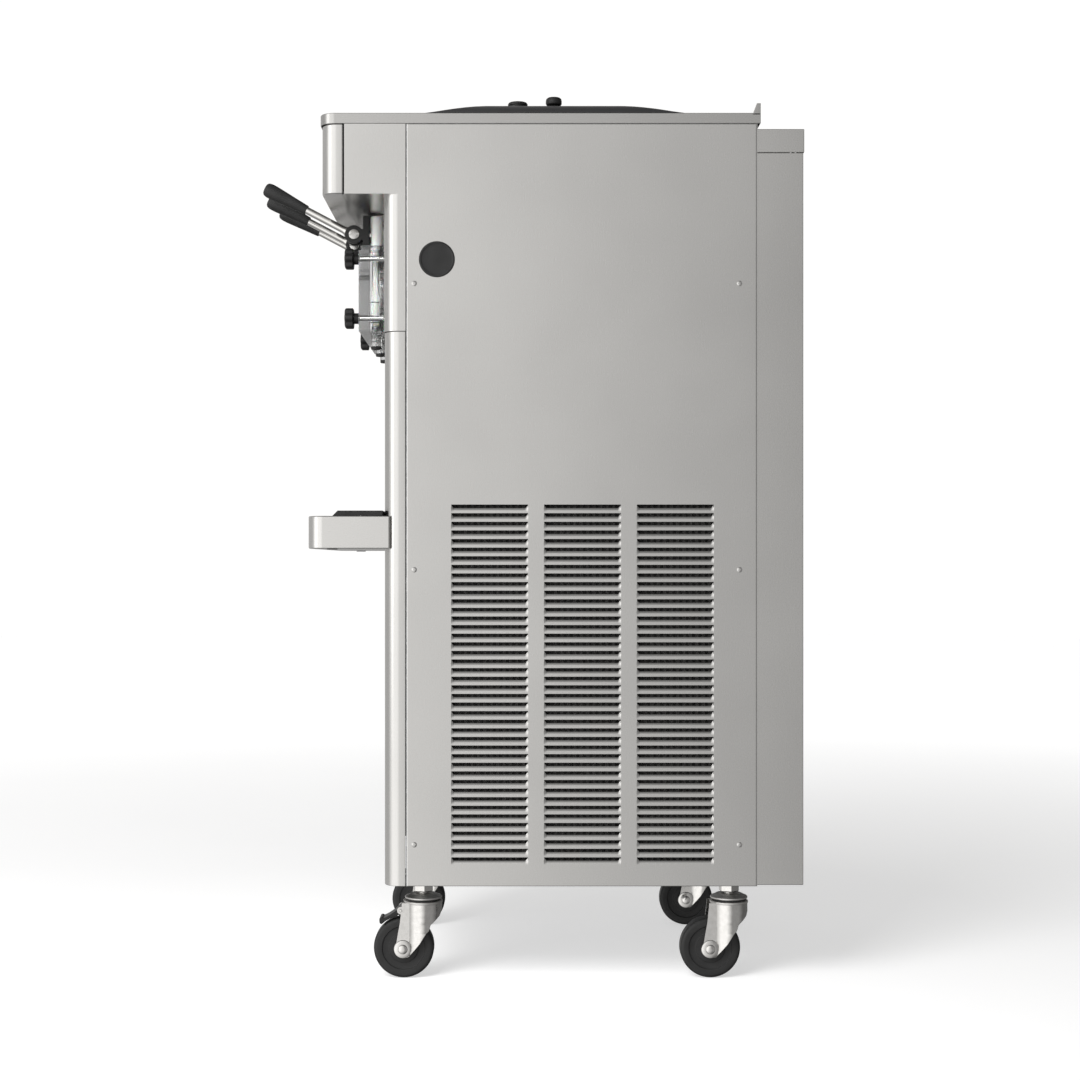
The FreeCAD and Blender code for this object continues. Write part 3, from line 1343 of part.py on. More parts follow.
# ---------------------------------------------------------------- checks and files

def check_and_write():
    doc.recompute()
    for obj in doc.Objects:
        if {"Invalid", "Error"} & set(obj.State):
            raise RuntimeError(f"{obj.Name} failed: {obj.State}")
    os.makedirs("parts", exist_ok=True)
    for obj in sub_parts:
        if obj.Shape.isNull() or not obj.Shape.isValid() or not obj.Shape.Solids:
            raise RuntimeError(f"{obj.Label} has no valid shape")
        obj.Shape.exportStep(f"parts/{obj.Label}.step")
        print(f"{obj.Label}: {len(obj.Shape.Solids)} solid(s), {obj.Shape.Volume / 1000:.1f} cm3")


check_and_write()
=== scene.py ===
import json
import math

import bmesh
import bpy
from mathutils import Matrix, Vector


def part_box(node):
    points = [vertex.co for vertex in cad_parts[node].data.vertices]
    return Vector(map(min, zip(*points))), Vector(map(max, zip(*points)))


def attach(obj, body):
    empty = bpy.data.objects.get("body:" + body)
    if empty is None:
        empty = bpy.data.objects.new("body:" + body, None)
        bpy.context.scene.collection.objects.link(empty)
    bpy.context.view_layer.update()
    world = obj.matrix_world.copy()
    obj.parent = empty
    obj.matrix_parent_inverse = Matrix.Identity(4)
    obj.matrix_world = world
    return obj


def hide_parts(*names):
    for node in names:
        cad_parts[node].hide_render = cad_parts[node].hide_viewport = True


# Looks of the twin-flavour soft-serve machine. Metres, +Z up, the front faces -Y.

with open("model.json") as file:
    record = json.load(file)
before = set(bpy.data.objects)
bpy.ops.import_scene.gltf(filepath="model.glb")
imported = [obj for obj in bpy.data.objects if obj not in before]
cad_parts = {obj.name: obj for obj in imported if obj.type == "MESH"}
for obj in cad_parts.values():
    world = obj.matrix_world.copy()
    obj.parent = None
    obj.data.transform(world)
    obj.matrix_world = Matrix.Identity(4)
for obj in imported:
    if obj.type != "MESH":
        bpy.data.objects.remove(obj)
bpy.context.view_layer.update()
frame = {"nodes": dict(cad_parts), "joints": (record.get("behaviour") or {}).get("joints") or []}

MM = 0.001
MILLI = Matrix.Scale(MM, 4)
SIDES = {"left": -1, "right": 1}
DRAWS = ("left", "centre", "right")


def middle(node):
    low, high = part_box(node)
    return (low + high) / 2


def joint_origin(name):
    return Vector(next(joint["pos_m"] for joint in frame["joints"] if joint["name"] == name))


# ------------------------ materials

PATTERN_SPAN = (0.3, 0.7)  # where most of a noise pattern's values lie


def new_material(name, metallic=0.0, ior=1.5, transmission=0.0, coat=0.0, subsurface=0.0):
    """A material with its Principled shader, whose even properties are set on its own sockets."""
    material = bpy.data.materials.new(name)
    material.use_nodes = True
    tree = material.node_tree
    shader = tree.nodes["Principled BSDF"]
    shader.inputs["Metallic"].default_value = metallic
    shader.inputs["IOR"].default_value = ior
    shader.inputs["Transmission Weight"].default_value = transmission
    shader.inputs["Coat Weight"].default_value = coat
    shader.inputs["Subsurface Weight"].default_value = subsurface
    shader.inputs["Subsurface Scale"].default_value = 4 * MM
    return material, tree, shader


def noise(tree, scale, stretch=(1, 1, 1), detail=3.0):
    """Noise over the object's own coordinates; stretch multiplies the scale on each axis."""
    place = tree.nodes.new("ShaderNodeTexCoord")
    mapping = tree.nodes.new("ShaderNodeMapping")
    mapping.inputs["Scale"].default_value = stretch
    texture = tree.nodes.new("ShaderNodeTexNoise")
    texture.inputs["Scale"].default_value = scale
    texture.inputs["Detail"].default_value = detail
    tree.links.new(place.outputs["Object"], mapping.inputs["Vector"])
    tree.links.new(mapping.outputs["Vector"], texture.inputs["Vector"])
    return texture.outputs["Fac"]


def eased(tree, value, limits, results, smooth=False):
    """A value carried from one range to another and held at its ends."""
    remap = tree.nodes.new("ShaderNodeMapRange")
    if smooth:
        remap.interpolation_type = "SMOOTHSTEP"
    for socket, number in zip(("From Min", "From Max", "To Min", "To Max"), (*limits, *results)):
        remap.inputs[socket].default_value = number
    tree.links.new(value, remap.inputs["Value"])
    return remap.outputs["Result"]


def blend_colours(tree, factor, first, second):
    ramp = tree.nodes.new("ShaderNodeValToRGB")
    for element, position in zip(ramp.color_ramp.elements, PATTERN_SPAN):
        element.position = position
    ramp.color_ramp.elements[0].color = (*first, 1)
    ramp.color_ramp.elements[1].color = (*second, 1)
    tree.links.new(factor, ramp.inputs["Fac"])
    return ramp.outputs["Color"]


def colour_and_polish(tree, shader, pattern, colours, roughness):
    """One pattern drives the colour and the roughness, each between two values."""
    tree.links.new(blend_colours(tree, pattern, *colours), shader.inputs["Base Color"])
    tree.links.new(eased(tree, pattern, PATTERN_SPAN, roughness), shader.inputs["Roughness"])


def add_bump(tree, shader, height, strength, distance):
    bump = tree.nodes.new("ShaderNodeBump")
    bump.inputs["Strength"].default_value = strength
    bump.inputs["Distance"].default_value = distance
    tree.links.new(height, bump.inputs["Height"])
    tree.links.new(bump.outputs["Normal"], shader.inputs["Normal"])


def surface(name, colours, roughness, scale, bump=None, detail=3.0, grain=None, grain_detail=3.0, **even):
    """A material that follows one noise; its bump (strength, distance) follows that or a finer grain."""
    material, tree, shader = new_material(name, **even)
    pattern = noise(tree, scale, detail=detail)
    colour_and_polish(tree, shader, pattern, colours, roughness)
    if bump:
        height = noise(tree, grain, detail=grain_detail) if grain else pattern
        add_bump(tree, shader, height, *bump)
    return material


def brushed_steel(name, grain, tone=0.62, roughness=(0.20, 0.28)):
    """Stainless sheet with a fine grain; grain is the axis along which the brush ran."""
    material, tree, shader = new_material(name, metallic=1.0)
    stretch = tuple(0.02 if axis == grain else 1.0 for axis in range(3))
    lines = noise(tree, 2600, stretch)
    cloud = noise(tree, 5, detail=2)
    light = (tone, tone * 0.99, tone * 0.965)
    dark = tuple(channel * 0.93 for channel in light)
    tree.links.new(blend_colours(tree, cloud, dark, light), shader.inputs["Base Color"])
    tree.links.new(eased(tree, lines, PATTERN_SPAN, roughness), shader.inputs["Roughness"])
    add_bump(tree, shader, lines, 0.03, 0.03 * MM)
    return material


def galvanised_sheet():
    """Zinc spangle: flat crystals of slightly different greys."""
    material, tree, shader = new_material("galvanised_sheet", metallic=0.9)
    place = tree.nodes.new("ShaderNodeTexCoord")
    cells = tree.nodes.new("ShaderNodeTexVoronoi")
    cells.inputs["Scale"].default_value = 90
    tree.links.new(place.outputs["Object"], cells.inputs["Vector"])
    split = tree.nodes.new("ShaderNodeSeparateColor")
    tree.links.new(cells.outputs["Color"], split.inputs["Color"])
    tree.links.new(blend_colours(tree, split.outputs["Red"], (0.42, 0.43, 0.44), (0.56, 0.57, 0.58)),
                   shader.inputs["Base Color"])
    tree.links.new(eased(tree, split.outputs["Green"], PATTERN_SPAN, (0.35, 0.5)), shader.inputs["Roughness"])
    add_bump(tree, shader, noise(tree, 300), 0.1, 0.1 * MM)
    return material


def moulded_plastic(name, colour, roughness=(0.34, 0.46), depth=0.18, grain=1600):
    """Injection-moulded plastic with a fine eroded grain and faint patches of wear."""
    lighter = tuple(channel * 1.35 + 0.004 for channel in colour)
    return surface(name, (colour, lighter), roughness, 45, (depth, 0.06 * MM), grain=grain, grain_detail=2,
                   ior=1.42)


def condenser_fins():
    """Thin aluminium fins across the block, seen as fine bands; the dark bands are painted shade in the gaps
    between the fins.
    """
    material, tree, shader = new_material("condenser_fins", metallic=0.9)
    place = tree.nodes.new("ShaderNodeTexCoord")
    waves = tree.nodes.new("ShaderNodeTexWave")
    waves.bands_direction = "X"
    waves.inputs["Scale"].default_value = 120
    tree.links.new(place.outputs["Object"], waves.inputs["Vector"])
    fins_and_painted_gap_shade = waves.outputs["Fac"]
    # Dark bands: painted shade in the gaps between the fins; light bands: the fins' aluminium.
    colour_and_polish(tree, shader, fins_and_painted_gap_shade, ((0.16, 0.16, 0.17), (0.62, 0.63, 0.64)), (0.5, 0.35))
    add_bump(tree, shader, fins_and_painted_gap_shade, 0.6, 0.5 * MM)
    return material


STEEL_UPRIGHT = brushed_steel("stainless_upright_grain", 2)
STEEL_ACROSS = brushed_steel("stainless_long_grain", 1, tone=0.51)
STEEL_TRAY = brushed_steel("stainless_tray", 1, tone=0.66)
STEEL_TANK = brushed_steel("stainless_tank", 0, tone=0.60, roughness=(0.2, 0.3))
GALVANISED = galvanised_sheet()
FINS_AND_GAP_SHADE = condenser_fins()

ZINC = ((0.62, 0.61, 0.59), (0.70, 0.69, 0.67))
POLISHED = surface("polished_steel", ((0.66, 0.65, 0.63), (0.72, 0.71, 0.69)), (0.07, 0.14), 60,
                   (0.04, 0.1 * MM), metallic=1.0)
PLATED = surface("plated_steel", ZINC, (0.13, 0.20), 140, (0.05, 0.1 * MM), detail=4, metallic=1.0)
SATIN = surface("satin_plating", ZINC, (0.42, 0.52), 140, (0.05, 0.1 * MM), detail=4, metallic=1.0)
CAST = surface("cast_metal", ((0.34, 0.34, 0.33), (0.46, 0.46, 0.45)), (0.45, 0.62), 420, (0.35, 0.25 * MM),
               detail=5, metallic=0.85)
PAINT = surface("black_paint", ((0.014, 0.014, 0.015), (0.0226, 0.0226, 0.024)), (0.28, 0.4), 30,
                (0.12, 0.08 * MM), grain=500, coat=0.2)
WHITE = surface("white_plastic", ((0.86, 0.86, 0.84), (0.92, 0.92, 0.90)), (0.28, 0.38), 60,
                (0.05, 0.05 * MM), grain=700, subsurface=0.25)
CLEAR = surface("clear_plastic", ((0.90, 0.91, 0.91), (0.97, 0.975, 0.975)), (0.05, 0.12), 35,
                (0.03, 0.2 * MM), detail=4, ior=1.49, transmission=1.0)
GLASS = surface("display_glass", ((0.010, 0.011, 0.013), (0.018, 0.019, 0.022)), (0.06, 0.12), 25, coat=0.6)

BLACK = moulded_plastic("black_plastic", (0.007, 0.007, 0.007))
LID_BLACK = moulded_plastic("lid_plastic", (0.013, 0.013, 0.014), (0.25, 0.35), 0.1)
GRIP_BLACK = moulded_plastic("grip_plastic", (0.011, 0.011, 0.011), (0.5, 0.62), 0.35, 1100)
BELT = moulded_plastic("belt_rubber", (0.018, 0.018, 0.018), (0.7, 0.85), 0.4, 700)
TYRE = moulded_plastic("tyre_rubber", (0.012, 0.012, 0.012), (0.42, 0.55), 0.25, 900)
FILTER = moulded_plastic("filter_cloth", (0.034, 0.033, 0.032), (0.8, 0.95), 0.5, 500)
RUBBER = moulded_plastic("seal_rubber", (0.014, 0.014, 0.014), (0.5, 0.65), 0.2)


# ------------------------ mesh helpers

def settle(name, bm, material, body, replaces=(), smooth=35):
    """Turn a bmesh into a finished piece that rides on a body."""
    bmesh.ops.remove_doubles(bm, verts=bm.verts, dist=1e-6)
    bmesh.ops.recalc_face_normals(bm, faces=bm.faces)
    mesh = bpy.data.meshes.new(name)
    bm.to_mesh(mesh)
    bm.free()
    mesh.shade_smooth()
    mesh.set_sharp_from_angle(angle=math.radians(smooth))
    mesh.materials.append(material)
    piece = bpy.data.objects.new(name, mesh)
    bpy.context.scene.collection.objects.link(piece)
    normals = piece.modifiers.new("normals", "WEIGHTED_NORMAL")
    normals.keep_sharp = True
    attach(piece, body)
    if replaces:
        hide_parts(*replaces)


def settle_sheet(name, bm, replaces=(), material=STEEL_UPRIGHT):
    """A stainless sheet of the fixed casing."""
    settle(name, bm, material, "root", replaces)


def modified(bm, kind, **properties):
    """The bmesh after one modifier with the given properties."""
    mesh = bpy.data.meshes.new("work")
    bm.to_mesh(mesh)
    bm.free()
    work = bpy.data.objects.new("work", mesh)
    bpy.context.scene.collection.objects.link(work)
    modifier = work.modifiers.new(kind.lower(), kind)
    for key, value in properties.items():
        setattr(modifier, key, value)
    result = bmesh.new()
    result.from_object(work, bpy.context.evaluated_depsgraph_get())
    bpy.data.objects.remove(work)
    bpy.data.meshes.remove(mesh)
    return result


def combined(bm, tool, operation):
    """The bmesh after an exact boolean with another bmesh."""
    bmesh.ops.recalc_face_normals(bm, faces=bm.faces)
    bmesh.ops.recalc_face_normals(tool, faces=tool.faces)
    mesh = bpy.data.meshes.new("tool")
    tool.to_mesh(mesh)
    tool.free()
    cutter = bpy.data.objects.new("tool", mesh)
    bpy.context.scene.collection.objects.link(cutter)
    result = modified(bm, "BOOLEAN", operation=operation, object=cutter, solver="EXACT")
    bpy.data.objects.remove(cutter)
    bpy.data.meshes.remove(mesh)
    return result


def absorb(bm, other):
    """Put a copy of another bmesh into this one, and free it."""
    mesh = bpy.data.meshes.new("part")
    other.to_mesh(mesh)
    other.free()
    bm.from_mesh(mesh)
    bpy.data.meshes.remove(mesh)
    return bm


def rounded_edges(bm, width, segments=3, angle=40):
    return modified(bm, "BEVEL", width=width, segments=segments, limit_method="ANGLE",
                    angle_limit=math.radians(angle), use_clamp_overlap=True)


def loft(bm, rings, cap_start=True):
    """Faces between rings of equally many points, with flat caps."""
    rows = [[bm.verts.new(point) for point in ring] for ring in rings]
    for first, second in zip(rows, rows[1:]):
        for i in range(len(first)):
            j = (i + 1) % len(first)
            bm.faces.new((first[i], first[j], second[j], second[i]))
    if cap_start:
        bm.faces.new(rows[0][::-1])
    bm.faces.new(rows[-1])
    return bm


def grid(bm, rows):
    """Faces over a grid of points."""
    verts = [[bm.verts.new(point) for point in row] for row in rows]
    for low, high in zip(verts, verts[1:]):
        for i in range(len(low) - 1):
            bm.faces.new((low[i], low[i + 1], high[i + 1], high[i]))


def ring(radius, height, segments):
    turns = [2 * math.pi * i / segments for i in range(segments)]
    return [Vector((radius * math.cos(turn), radius * math.sin(turn), height)) for turn in turns]


def turned(bm, profile, place, segments=48):
    """A lathe shape: (radius, height) pairs turned about Z, then put in place by a matrix."""
    rings = [[place @ point for point in ring(radius, height, segments)] for radius, height in profile]
    return loft(bm, rings)


def turned_mm(bm, profile, place, segments=48):
    """A lathe shape whose profile is in millimetres."""
    return turned(bm, profile, place @ MILLI, segments)


def prism(bm, outline, low, high):
    """An upright prism over an outline of (x, y) points."""
    return loft(bm, [[Vector((x, y, z)) for x, y in outline] for z in (low, high)])


def box(bm, low, high):
    corners = [(low[0], low[1]), (high[0], low[1]), (high[0], high[1]), (low[0], high[1])]
    return prism(bm, corners, low[2], high[2])


def front_rounded(x, y_front, y_rear, radius, segments=14):
    """A plan from -x to x with two rounded front corners."""
    points = [(x, y_rear), (-x, y_rear)]
    for side in (-1, 1):
        for i in range(segments + 1):
            turn = math.pi / 2 * (i if side < 0 else segments - i) / segments
            points.append((side * (x - radius + radius * math.cos(turn)),
                           y_front + radius - radius * math.sin(turn)))
    return points


def rounded_rectangle(centre, half_x, half_y, radius, height, segments=6):
    """A level ring of points with four rounded corners."""
    points = []
    for sign_x, sign_y, start in ((1, 1, 0), (-1, 1, 90), (-1, -1, 180), (1, -1, 270)):
        for i in range(segments + 1):
            turn = math.radians(start + 90 * i / segments)
            x = centre[0] + sign_x * (half_x - radius) + radius * math.cos(turn)
            y = centre[1] + sign_y * (half_y - radius) + radius * math.sin(turn)
            points.append(Vector((x, y, height)))
    return points


def along(axis, origin):
    """A frame at origin whose Z runs along the axis."""
    return Matrix.Translation(origin) @ Vector(axis).to_track_quat("Z", "Y").to_matrix().to_4x4()


def opened_sheet(bm, openings, wall):
    """Take away the outermost face in each direction of openings and give the rest a wall inwards."""
    bmesh.ops.recalc_face_normals(bm, faces=bm.faces)
    for direction in openings:
        axis = Vector(direction)
        reach = max(vertex.co.dot(axis) for vertex in bm.verts)
        outermost = [face for face in bm.faces
                     if all(vertex.co.dot(axis) > reach - 1e-5 for vertex in face.verts)]
        bmesh.ops.delete(bm, geom=outermost, context="FACES")
    return modified(bm, "SOLIDIFY", thickness=wall, offset=-1.0, use_even_offset=True)


def ring_tube(bm, major, minor, place, turns=40, sides=12):
    """A ring of round section about the Z axis of place."""
    rows = []
    for i in range(turns):
        angle = 2 * math.pi * i / turns
        across = Vector((math.cos(angle), math.sin(angle), 0))
        rows.append([bm.verts.new(place @ (across * (major + minor * math.cos(2 * math.pi * k / sides))
                                           + Vector((0, 0, minor * math.sin(2 * math.pi * k / sides)))))
                     for k in range(sides)])
    for i in range(turns):
        for k in range(sides):
            bm.faces.new((rows[i][k], rows[(i + 1) % turns][k], rows[(i + 1) % turns][(k + 1) % sides],
                          rows[i][(k + 1) % sides]))


def softened_node(name, node, width, material, body="root"):
    """A piece with the node's own shape, its flat faces merged and its sharp edges rounded."""
    bm = bmesh.new()
    bm.from_mesh(frame["nodes"][node].data)
    bmesh.ops.remove_doubles(bm, verts=bm.verts, dist=2e-6)
    bmesh.ops.dissolve_limit(bm, angle_limit=math.radians(1), verts=bm.verts, edges=bm.edges)
    settle(name, rounded_edges(bm, width, segments=2), material, body, [node])


# ------------------------ casing

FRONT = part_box("draw_head")[1].y
PANEL_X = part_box("side_panel_right")[1].x
SEAM = 0.85 * MM
GAP = 0.3 * MM
WALL = 1.5 * MM
CORNER = 24 * MM

LOUVRE_WIDTH = 118.9 * MM
LOUVRE_FIRST = 106.6 * MM
LOUVRE_COLUMN = 143.9 * MM
LOUVRE_LOW = 194.7 * MM
LOUVRE_PITCH = 13.34 * MM
LOUVRE_ROWS = 42
LOUVRE_OPENING = 5.6 * MM
LOUVRE_BLADE = 5.8 * MM
LOUVRE_DEPTH = 2.0 * MM
LOUVRE_END = 4.5 * MM


def louvre_stations():
    """Distances along a louvre, with how far it is open there, from 0 to 1."""
    steps = [0, 0.12, 0.3, 0.5, 0.72, 1]
    start = [(step * LOUVRE_END, math.sin(math.pi / 2 * step)) for step in steps]
    end = [(LOUVRE_WIDTH - distance, openness) for distance, openness in start[::-1]]
    return start + end


def nearest_side(vertex, y_range, z_range):
    """Which way is out, for a vertex on or beyond the edge of the flat."""
    slack = 1e-6
    out_y = -1 if vertex.co.y < y_range[0] + slack else 1 if vertex.co.y > y_range[1] - slack else 0
    out_z = -1 if vertex.co.z < z_range[0] + slack else 1 if vertex.co.z > z_range[1] - slack else 0
    return out_y, out_z


def turn_edges_in(bm, y_range, z_range, side, radius):
    """Carry a flat sheet's outer edge round a small bend and then inwards as a flange."""
    def outer(edge):
        ends = [nearest_side(vertex, y_range, z_range) for vertex in edge.verts]
        return any(a and a == b for a, b in zip(*ends))

    rim = [edge for edge in bm.edges if edge.is_boundary and outer(edge)]
    reach, depth = 0.0, 0.0
    for next_reach, next_depth in ((0.5, 0.13), (0.87, 0.5), (1.0, 1.0), (1.0, 6.0)):
        made = bmesh.ops.extrude_edge_only(bm, edges=rim)["geom"]
        for vertex in [item for item in made if isinstance(item, bmesh.types.BMVert)]:
            out_y, out_z = nearest_side(vertex, y_range, z_range)
            vertex.co.y += out_y * (next_reach - reach) * radius
            vertex.co.z += out_z * (next_reach - reach) * radius
            vertex.co.x -= side * (next_depth - depth) * radius
        reach, depth = next_reach, next_depth
        rim = [item for item in made if isinstance(item, bmesh.types.BMEdge)]


def side_panel(side_name, side):
    """Sheet with three columns of louvres pressed inwards below their cuts, and edges turned inwards."""
    node = f"side_panel_{side_name}"
    low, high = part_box(node)
    turn_in = 1.4 * MM
    face_x = max(abs(low.x), abs(high.x))
    y_low, y_high = low.y + SEAM + turn_in, high.y - SEAM - turn_in
    z_low, z_high = low.z + turn_in, high.z - GAP - turn_in
    blade_steps = 4
    cuts = [LOUVRE_LOW + LOUVRE_OPENING / 2 + row * LOUVRE_PITCH for row in range(LOUVRE_ROWS)]
    feet = [cut - LOUVRE_OPENING - LOUVRE_BLADE for cut in cuts]
    columns = [FRONT + LOUVRE_FIRST + column * LOUVRE_COLUMN for column in range(3)]
    bm = bmesh.new()

    def point(y, z, depth=0.0):
        return Vector((side * (face_x - depth), y, z))

    levels = [z_low]
    for cut, foot in zip(cuts, feet):
        levels += [foot + (cut - foot) * step / blade_steps for step in range(blade_steps + 1)]
    levels.append(z_high)
    bands = [y_low] + [edge for start in columns for edge in (start, start + LOUVRE_WIDTH)] + [y_high]
    support = 0.7 * MM
    for near, far in zip(bands[::2], bands[1::2]):
        grid(bm, [[point(y, z) for y in (near, near + support, far - support, far)] for z in levels])
    stations = louvre_stations()
    for start in columns:
        for cut, foot in zip(cuts, feet):
            blade = []
            for step in range(blade_steps + 1):
                part = step / blade_steps
                blade.append([point(start + distance,
                                    foot + part * (cut - openness * LOUVRE_OPENING - foot),
                                    LOUVRE_DEPTH * min(6 * openness, 1.0) * part ** 2.2)
                              for distance, openness in stations])
            grid(bm, blade)
        for below, above in zip([z_low] + cuts, feet + [z_high]):
            grid(bm, [[point(start + distance, z) for distance, _ in stations] for z in (below, above)])
    bmesh.ops.remove_doubles(bm, verts=bm.verts, dist=1e-6)
    turn_edges_in(bm, (y_low, y_high), (z_low, z_high), side, turn_in)
    bmesh.ops.recalc_face_normals(bm, faces=bm.faces)
    bm = modified(bm, "SOLIDIFY", thickness=0.9 * MM, offset=-1.0)
    settle_sheet(f"louvred_{node}", bm, [node])


def head_housing():
    """Hood and upper column as one pressed shell, with holes above the plungers."""
    low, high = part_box("head_housing")
    column_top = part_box("control_fascia")[0].z
    side = high.x
    rear = high.y - SEAM
    column = front_rounded(side, FRONT, rear, CORNER)
    bm = prism(bmesh.new(), column, low.z + GAP, column_top + 20 * MM)
    hood = box(bmesh.new(), (-side, low.y + SEAM, column_top), (side, rear, high.z - GAP))
    bm = combined(bm, hood, "UNION")
    for name in DRAWS:
        rod = middle(f"plunger_{name}")
        place = Matrix.Translation((rod.x, rod.y, column_top))
        bm = combined(bm, turned_mm(bmesh.new(), [(12.5, -5), (12.5, 28)], place), "DIFFERENCE")
    bm = rounded_edges(bm, 0.9 * MM)
    bm = opened_sheet(bm, [(0, -1, 0), (0, 1, 0), (0, 0, 1), (0, 0, -1)], WALL)
    settle_sheet("hood_and_column", bm, ["head_housing"])


def lower_front():
    """The front sheet of the lower body, with its round corners."""
    low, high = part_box("lower_front_panel")
    bm = prism(bmesh.new(), front_rounded(high.x, low.y, high.y - SEAM, CORNER), low.z, high.z - GAP)
    bm = rounded_edges(bm, 0.9 * MM)
    bm = opened_sheet(bm, [(0, 1, 0), (0, 0, 1), (0, 0, -1)], WALL)
    settle_sheet("lower_column_sheet", bm, ["lower_front_panel"])


def fascia():
    """The hood's front cap, its display window and a row of touch keys."""
    low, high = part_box("control_fascia")
    glass_low, glass_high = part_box("display_panel")
    half_width, frame_edge, play = 110 * MM, 10 * MM, 0.4 * MM
    bm = prism(bmesh.new(), front_rounded(high.x, low.y, high.y - SEAM, CORNER), low.z, high.z - GAP)
    bm = rounded_edges(bm, 2.2 * MM, segments=4)
    window = box(bmesh.new(), (-half_width, low.y - 0.01, glass_low.z + frame_edge),
                 (half_width, low.y + 0.01, glass_high.z - frame_edge))
    bm = combined(bm, window, "DIFFERENCE")
    bm = opened_sheet(bm, [(0, 1, 0)], WALL)
    settle_sheet("fascia_cap", bm, ["control_fascia"])
    face_y = low.y - 0.5 * MM
    glass = box(bmesh.new(), (-half_width + play, face_y, glass_low.z + frame_edge + play),
                (half_width - play, low.y + 7 * MM, glass_high.z - frame_edge - play))
    glass = rounded_edges(glass, 0.8 * MM)
    settle("display_window", glass, GLASS, "root", ["display_panel"])
    keys = bmesh.new()
    key_pitch = 32 * MM
    key_z = (glass_low.z + glass_high.z) / 2 - 12 * MM
    for i in range(6):
        turned_mm(keys, [(6.2, 0), (6.2, 0.25), (5.6, 0.4), (4.6, 0.25)],
                  along((0, -1, 0), Vector(((i - 2.5) * key_pitch, face_y, key_z))), 32)
    settle("touch_keys", keys, BLACK, "root")


def seam_backing():
    """A strip inside the seam under the hood, which leaves only a hairline there."""
    low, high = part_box("control_fascia")
    strip = box(bmesh.new(), (-high.x + 3 * MM, high.y - 4 * MM, low.z + 0.25 * MM),
                (high.x - 3 * MM, high.y + 4 * MM, low.z + 1.4 * MM))
    strip = rounded_edges(strip, 0.3 * MM, segments=2)
    settle_sheet("seam_backing", strip)


def seam_feet():
    """The small dark stops at the foot of the fascia's seams."""
    low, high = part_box("control_fascia")
    bm = bmesh.new()
    for side in SIDES.values():
        spot = Vector((side * (high.x - 1.6 * MM), high.y - 0.6 * MM, low.z + 3.4 * MM))
        turned_mm(bm, [(1.6, 0), (1.9, 0.5), (1.9, 3), (1.4, 3.6)], along((0, 0, -1), spot), 20)
    settle("seam_stops", bm, RUBBER, "root")


def top_cover():
    """Pressed lid of the casing with two hopper mouths and an upstand along its rear edge."""
    low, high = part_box("top_cover")
    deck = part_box("hopper_lid_right")[0].z - WALL
    inset = 9.5 * MM
    bm = prism(bmesh.new(), front_rounded(high.x, low.y, high.y, CORNER), low.z, deck)
    for side_name in SIDES:
        lid_low, lid_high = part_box(f"hopper_lid_{side_name}")
        mouth = box(bmesh.new(), (lid_low.x + inset, lid_low.y + inset, low.z - 0.01),
                    (lid_high.x - inset, lid_high.y - inset, deck + 0.01))
        bm = combined(bm, mouth, "DIFFERENCE")
    bm = rounded_edges(bm, 1.8 * MM, segments=4)
    bm = opened_sheet(bm, [(0, 0, -1)], WALL)
    wall = box(bmesh.new(), (low.x, high.y - WALL, deck - 4 * MM), (high.x, high.y, high.z))
    for side in SIDES.values():
        start, end = sorted((side * (high.x - WALL), side * high.x))
        gusset = [(high.y - WALL / 2, deck - 3 * MM), (high.y - 13 * MM, deck - 3 * MM),
                  (high.y - 6 * MM, high.z), (high.y - WALL / 2, high.z)]
        loft(wall, [[Vector((x, y, z)) for y, z in gusset] for x in (start, end)])
    settle_sheet("cover_sheet", bm, ["top_cover"], STEEL_ACROSS)
    wall = rounded_edges(wall, 0.4 * MM, segments=2)
    settle_sheet("cover_upstand", wall, material=STEEL_ACROSS)


def rear_duct():
    """The exhaust chimney and its slotted cap."""
    low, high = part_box("rear_duct")
    seam = high.z - 36.6 * MM
    chimney = box(bmesh.new(), (low.x, low.y, low.z), (high.x, high.y - 1.5 * MM, seam - 0.4 * MM))
    chimney = opened_sheet(rounded_edges(chimney, 1.2 * MM), [(0, -1, 0), (0, 0, 1)], WALL)
    settle_sheet("duct_chimney", chimney, ["rear_duct"])
    cap = rounded_edges(box(bmesh.new(), (low.x, low.y, seam), (high.x, high.y, high.z)), 1.2 * MM)
    cap = opened_sheet(cap, [(0, -1, 0), (0, 0, -1)], WALL)
    for i in range(3):
        height = seam + (4 + 12 * i) * MM
        slot = box(bmesh.new(), (low.x * 0.85, high.y - 5 * MM, height),
                   (high.x * 0.85, high.y + 5 * MM, height + 6 * MM))
        cap = combined(cap, slot, "DIFFERENCE")
    settle_sheet("duct_cap", cap)


def side_plugs():
    """A dished rubber plug on each side panel."""
    low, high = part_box("side_plugs")
    centre = (low + high) / 2
    radius = (high.z - low.z) / 2
    profile = [(0.82, -7.0), (0.83, -1.2), (1.0, 0.02), (1.0, 0.5), (0.975, 0.95), (0.93, 1.15), (0.88, 1.0),
               (0.855, 0.55), (0.84, 0.3), (0.6, 0.26), (0.2, 0.25)]
    bm = bmesh.new()
    for side in SIDES.values():
        place = along((side, 0, 0), Vector((side * PANEL_X, centre.y, centre.z)))
        turned(bm, [(radius * reach, height * MM) for reach, height in profile], place, 72)
    settle("plugs", bm, BLACK, "root", ["side_plugs"], smooth=50)


def cross_screw(head):
    """A pan head with a cross recess, standing along +Z."""
    profile = [(0.55, -2), (0.55, 0), (1, 0), (0.97, 0.4), (0.8, 0.9), (0.45, 1.15), (0.1, 1.2)]
    bm = turned(bmesh.new(), [(head * reach, height * MM) for reach, height in profile],
                Matrix.Identity(4), 28)
    for turn in (25, 115):
        blade = box(bmesh.new(), (-0.5 * MM, -2.6 * MM, 0.3 * MM), (0.5 * MM, 2.6 * MM, 2 * MM))
        blade.transform(Matrix.Rotation(math.radians(turn), 4, "Z"))
        bm = combined(bm, blade, "DIFFERENCE")
    return bm


